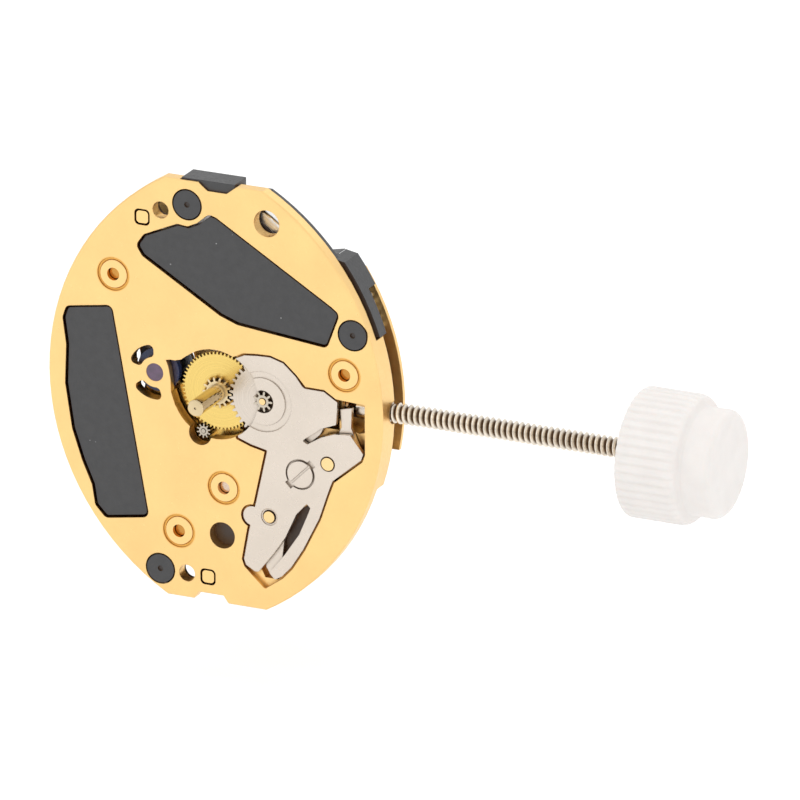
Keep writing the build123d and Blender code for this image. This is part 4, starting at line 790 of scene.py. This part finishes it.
class MOVEMENT_OT_knob(bpy.types.Operator):
    """Mould the knob: fluted grip, soft shoulders and a smooth boss."""

    bl_idname = "movement.knob"
    bl_label = "Knob"

    def execute(self, context):
        sizes = context.scene.movement_knob
        finishes = context.scene.movement_finishes
        low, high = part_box("knob")
        segments = sizes.flutes * FLUTE_STEPS
        white = plastic("white_knob", finishes.white_plastic, rough=0.46, grain=4.0, height=0.010 * MM,
                        speck=0.965, subsurface=0.35)

        solid = Solid()
        rings = []
        for x, radius, share in self.outline(sizes, low, high):
            rings.append(solid.ring(stem_ring(
                x, lambda angle, r=radius, s=share: r - self.flute(sizes, angle) * s, segments)))
        floor = solid.ring(round_ring(low.x + sizes.bore_depth, sizes.bore, segments))
        solid.skin([floor, *rings])
        piece = piece_from("knob_moulded", solid, white, "stem", "knob")
        crisp(piece, degrees=50)
        return {"FINISHED"}

    def flute(self, sizes, angle):
        """Depth of the flutes at an angle round the knob."""
        turn = (angle * sizes.flutes / (2 * math.pi)) % 1.0
        return sizes.flute_depth * max(0.0, math.cos(2 * math.pi * turn)) ** FLUTE_ROUNDNESS

    def outline(self, sizes, low, high):
        """Steps from the bore round the outside to the end: distance, radius, share of the flutes."""
        radius = (high.z - low.z) / 2
        rim = radius - FRONT_EDGE
        face = low.x + FRONT_STEP
        steps = [(low.x, sizes.bore, 0), (low.x, rim - FRONT_MARGIN, 0), (face, rim, FRONT_FLUTE)]
        for sine, cosine, done in quarter_turn(GRIP_ROUND_STEPS):
            steps.append((face + FRONT_EDGE * (1 - cosine), rim + FRONT_EDGE * sine,
                          FRONT_FLUTE + (1 - FRONT_FLUTE) * done))
        shoulder = low.x + sizes.grip
        fall = shoulder - SHOULDER_RUN
        steps.append((fall, radius, 1))
        for sine, cosine, done in quarter_turn(GRIP_ROUND_STEPS):
            steps.append((fall + SHOULDER_ROUND * sine, radius - SHOULDER_DROP * (1 - cosine), 1 - done))
        for further, wider in BOSS_FOOT:
            steps.append((shoulder + further, sizes.boss + wider, 0))
        end = high.x - BOSS_EDGE
        steps.append((end, sizes.boss, 0))
        for sine, cosine, _ in quarter_turn(BOSS_ROUND_STEPS):
            steps.append((end + BOSS_EDGE * sine, sizes.boss - BOSS_EDGE * (1 - cosine), 0))
        for sunk, share in BOSS_DISH:
            steps.append((high.x - sunk, sizes.boss * share, 0))
        return steps


class MOVEMENT_OT_coil(bpy.types.Operator):
    """Wind the coil and finish its core, cheeks, screws and the stator."""

    bl_idname = "movement.coil"
    bl_label = "Coil and stator"

    def execute(self, context):
        finishes = context.scene.movement_finishes
        dress(metal("soft_iron", finishes.soft_iron, rough=0.38, spread=0.08, grain=5.0, height=0.004 * MM,
                    drift=0.82),
              "stator", "coil_core")
        dress(plastic("coil_cheek_plastic", finishes.cheek_plastic, rough=0.45, grain=6.0,
                      height=0.004 * MM),
              "coil_cheeks")
        dress(metal("screw_steel", finishes.screw_steel, rough=0.18, spread=0.06, grain=8.0,
                    height=0.003 * MM, drift=0.85),
              "coil_screws", "train_screws")
        solid = self.winding(context.scene.movement_coil)
        wire = enamelled_wire("enamelled_wire", finishes.copper)
        piece_from("coil_wound", solid, wire, "movement", "coil_winding")
        return {"FINISHED"}

    def winding(self, sizes):
        """The winding's outside: a round bar with a ridge for each turn of the wire."""
        along = Vector((-math.sin(sizes.tilt), 0, math.cos(sizes.tilt)))
        across = Vector((math.cos(sizes.tilt), 0, math.sin(sizes.tilt)))
        backward = Vector((0, 1, 0))
        low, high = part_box("coil_winding")
        middle = (low + high) / 2
        turns = int(sizes.length / sizes.wire)
        solid = Solid()
        rings = []
        for j in range(turns * COIL_STEPS + 1):
            turn = j / COIL_STEPS
            ridge = sizes.relief * (0.5 - 0.5 * math.cos(2 * math.pi * turn))
            wave = COIL_WAVE * math.sin(turn * COIL_WAVE_RATE)
            radius = sizes.radius - sizes.relief - COIL_CLEARANCE + ridge + wave
            centre = middle + along * (sizes.length * (turn / turns - 0.5))
            points = []
            for i in range(COIL_SIDES):
                angle = 2 * math.pi * i / COIL_SIDES
                points.append(centre + (across * math.cos(angle) + backward * math.sin(angle)) * radius)
            rings.append(solid.ring(points))
        solid.skin(rings)
        return solid


class MOVEMENT_OT_battery(bpy.types.Operator):
    """Finish the battery, its strap and its two contacts."""

    bl_idname = "movement.battery"
    bl_label = "Battery"

    def execute(self, context):
        finishes = context.scene.movement_finishes
        dress(ring_brushed("battery_steel", finishes.battery_steel, dial_centre("battery_can"), rough=0.38,
                           pitch=0.060, depth=0.2),
              "battery_can", "battery_cap")
        dress(plastic("battery_gasket_plastic", finishes.gasket, rough=0.50, grain=6.0, height=0.004 * MM),
              "battery_gasket")
        dress(metal("spring_steel", finishes.spring_steel, rough=0.28, spread=0.07, grain=4.0,
                    height=0.004 * MM, drift=0.88, stretch=(0.2, 1.0, 3.0), depth=0.6),
              "battery_strap", "positive_contact")
        dress(metal("contact_gilt", finishes.contact_gilt, rough=0.26, spread=0.06, grain=6.0,
                    height=0.003 * MM),
              "negative_contact")
        return {"FINISHED"}


class MOVEMENT_OT_circuit(bpy.types.Operator):
    """Finish the circuit board, the resin drop and the quartz can."""

    bl_idname = "movement.circuit"
    bl_label = "Circuit"

    def execute(self, context):
        finishes = context.scene.movement_finishes
        dress(plastic("polyimide_board", finishes.board, rough=0.30, grain=5.0, height=0.003 * MM,
                      speck=0.6),
              "circuit_board")
        dress(plastic("black_resin", finishes.resin, rough=0.22, grain=3.0, height=0.006 * MM),
              "circuit_chip")
        dress(metal("drawn_can", finishes.can_steel, rough=0.24, spread=0.06, grain=5.0, height=0.003 * MM,
                    drift=0.88, stretch=(2.0, 2.0, 0.3)),
              "quartz_can")
        return {"FINISHED"}


class MOVEMENT_OT_stage(bpy.types.Operator):
    """Lay the floor, hang the lights and set the camera."""

    bl_idname = "movement.stage"
    bl_label = "Stage"

    def execute(self, context):
        scene = context.scene
        scene.view_settings.view_transform = "Standard"
        self.surround(scene)
        self.floor(scene)
        self.lamps(scene)
        self.camera(scene)
        return {"FINISHED"}

    def surround(self, scene):
        """Even light from all round, which the eye sees as white."""
        world = bpy.data.worlds.new("studio")
        scene.world = world
        world.use_nodes = True
        nodes = world.node_tree.nodes
        links = world.node_tree.links
        ground = nodes["Background"]
        level = scaled(nodes, links, seen_by_eye(nodes, links), scene.movement_stage.surround, 1.0)
        ground.inputs["Color"].default_value = (1, 1, 1, 1)
        links.new(level, ground.inputs["Strength"])

    def floor(self, scene):
        """Pale paper floor under the movement."""
        settings = scene.movement_stage
        half = FLOOR_HALF_SIDE
        corners = ((-half, -half), (half, -half), (half, half), (-half, half))
        mesh = bpy.data.meshes.new("floor")
        mesh.from_pydata([(x, y, -settings.floor_drop) for x, y in corners], [], [(0, 1, 2, 3)])
        floor = bpy.data.objects.new("floor", mesh)
        scene.collection.objects.link(floor)
        finish, nodes, links, shader, _ = finish_nodes("pale_floor")
        shader.inputs["Base Color"].default_value = (0.93, 0.93, 0.93, 1)
        shader.inputs["Roughness"].default_value = 0.9
        shader.inputs["Emission Color"].default_value = (1, 1, 1, 1)
        lift = scaled(nodes, links, seen_by_eye(nodes, links), 0.0, settings.floor_lift)
        links.new(lift, shader.inputs["Emission Strength"])
        mesh.materials.append(finish)

    def lamps(self, scene):
        """Soft round lamps that face the movement."""
        for name, place, size, share in LAMPS:
            lamp_data = bpy.data.lights.new(name, "AREA")
            lamp_data.shape = "DISK"
            lamp_data.size = size
            lamp_data.energy = scene.movement_stage.key * share
            lamp = bpy.data.objects.new(name, lamp_data)
            lamp.location = place
            lamp.rotation_mode = "QUATERNION"
            lamp.rotation_quaternion = (-Vector(place)).to_track_quat("-Z", "Y")
            scene.collection.objects.link(lamp)

    def camera(self, scene):
        """Camera at the photograph's angle, aimed so that the movement lies where it does there."""
        away = Vector(CAMERA_WAY).normalized()
        level = Vector((0, 0, 1)).cross(away).normalized()
        upright = away.cross(level)
        right = level * math.cos(CAMERA_ROLL) + upright * math.sin(CAMERA_ROLL)
        up = upright * math.cos(CAMERA_ROLL) - level * math.sin(CAMERA_ROLL)
        pixel = VIEW_WIDTH / VIEW_PIXELS
        aim = right * (VIEW_RIGHT * pixel) - up * (VIEW_BELOW * pixel)
        eye = away * CAMERA_DISTANCE
        back = (eye - aim).normalized()
        side = (right - back * right.dot(back)).normalized()
        top = back.cross(side)
        lens = bpy.data.cameras.new("camera")
        lens.sensor_width = SENSOR_WIDTH
        lens.lens = SENSOR_WIDTH * CAMERA_DISTANCE / VIEW_WIDTH
        lens.clip_start = 0.01
        lens.clip_end = 10.0
        camera = bpy.data.objects.new("camera", lens)
        camera.matrix_world = Matrix(((side.x, top.x, back.x, eye.x), (side.y, top.y, back.y, eye.y),
                                      (side.z, top.z, back.z, eye.z), (0, 0, 0, 1)))
        scene.collection.objects.link(camera)
        scene.camera = camera


STEPS = (MOVEMENT_OT_plates, MOVEMENT_OT_frame, MOVEMENT_OT_setting_works, MOVEMENT_OT_train,
         MOVEMENT_OT_stem, MOVEMENT_OT_knob, MOVEMENT_OT_coil, MOVEMENT_OT_battery, MOVEMENT_OT_circuit,
         MOVEMENT_OT_stage)

SETTINGS = {
    "movement_finishes": MovementFinishes,
    "movement_stem": StemSizes,
    "movement_knob": KnobSizes,
    "movement_coil": CoilSizes,
    "movement_stage": StageSettings,
}


class MOVEMENT_PT_panel(bpy.types.Panel):
    """The movement's steps and settings."""

    bl_label = "Movement"
    bl_idname = "MOVEMENT_PT_panel"
    bl_space_type = "VIEW_3D"
    bl_region_type = "UI"
    bl_category = "Movement"

    def draw(self, context):
        layout = self.layout
        for step in STEPS:
            layout.operator(step.bl_idname)
        for name in SETTINGS:
            group = getattr(context.scene, name)
            box = layout.box()
            for setting in group.bl_rna.properties.keys():
                if setting not in ("rna_type", "name"):
                    box.prop(group, setting)


def register():
    """Registers the settings, the steps and the panel."""
    for name, group in SETTINGS.items():
        bpy.utils.register_class(group)
        setattr(bpy.types.Scene, name, PointerProperty(type=group))
    for step in STEPS:
        bpy.utils.register_class(step)
    bpy.utils.register_class(MOVEMENT_PT_panel)


def unregister():
    """Takes back what register added."""
    bpy.utils.unregister_class(MOVEMENT_PT_panel)
    for step in reversed(STEPS):
        bpy.utils.unregister_class(step)
    for name, group in SETTINGS.items():
        delattr(bpy.types.Scene, name)
        bpy.utils.unregister_class(group)


def main():
    """Builds the dressed movement."""
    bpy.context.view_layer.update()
    register()
    for step in STEPS:
        family, name = step.bl_idname.split(".")
        getattr(getattr(bpy.ops, family), name)()


if __name__ == "__main__":
    main()
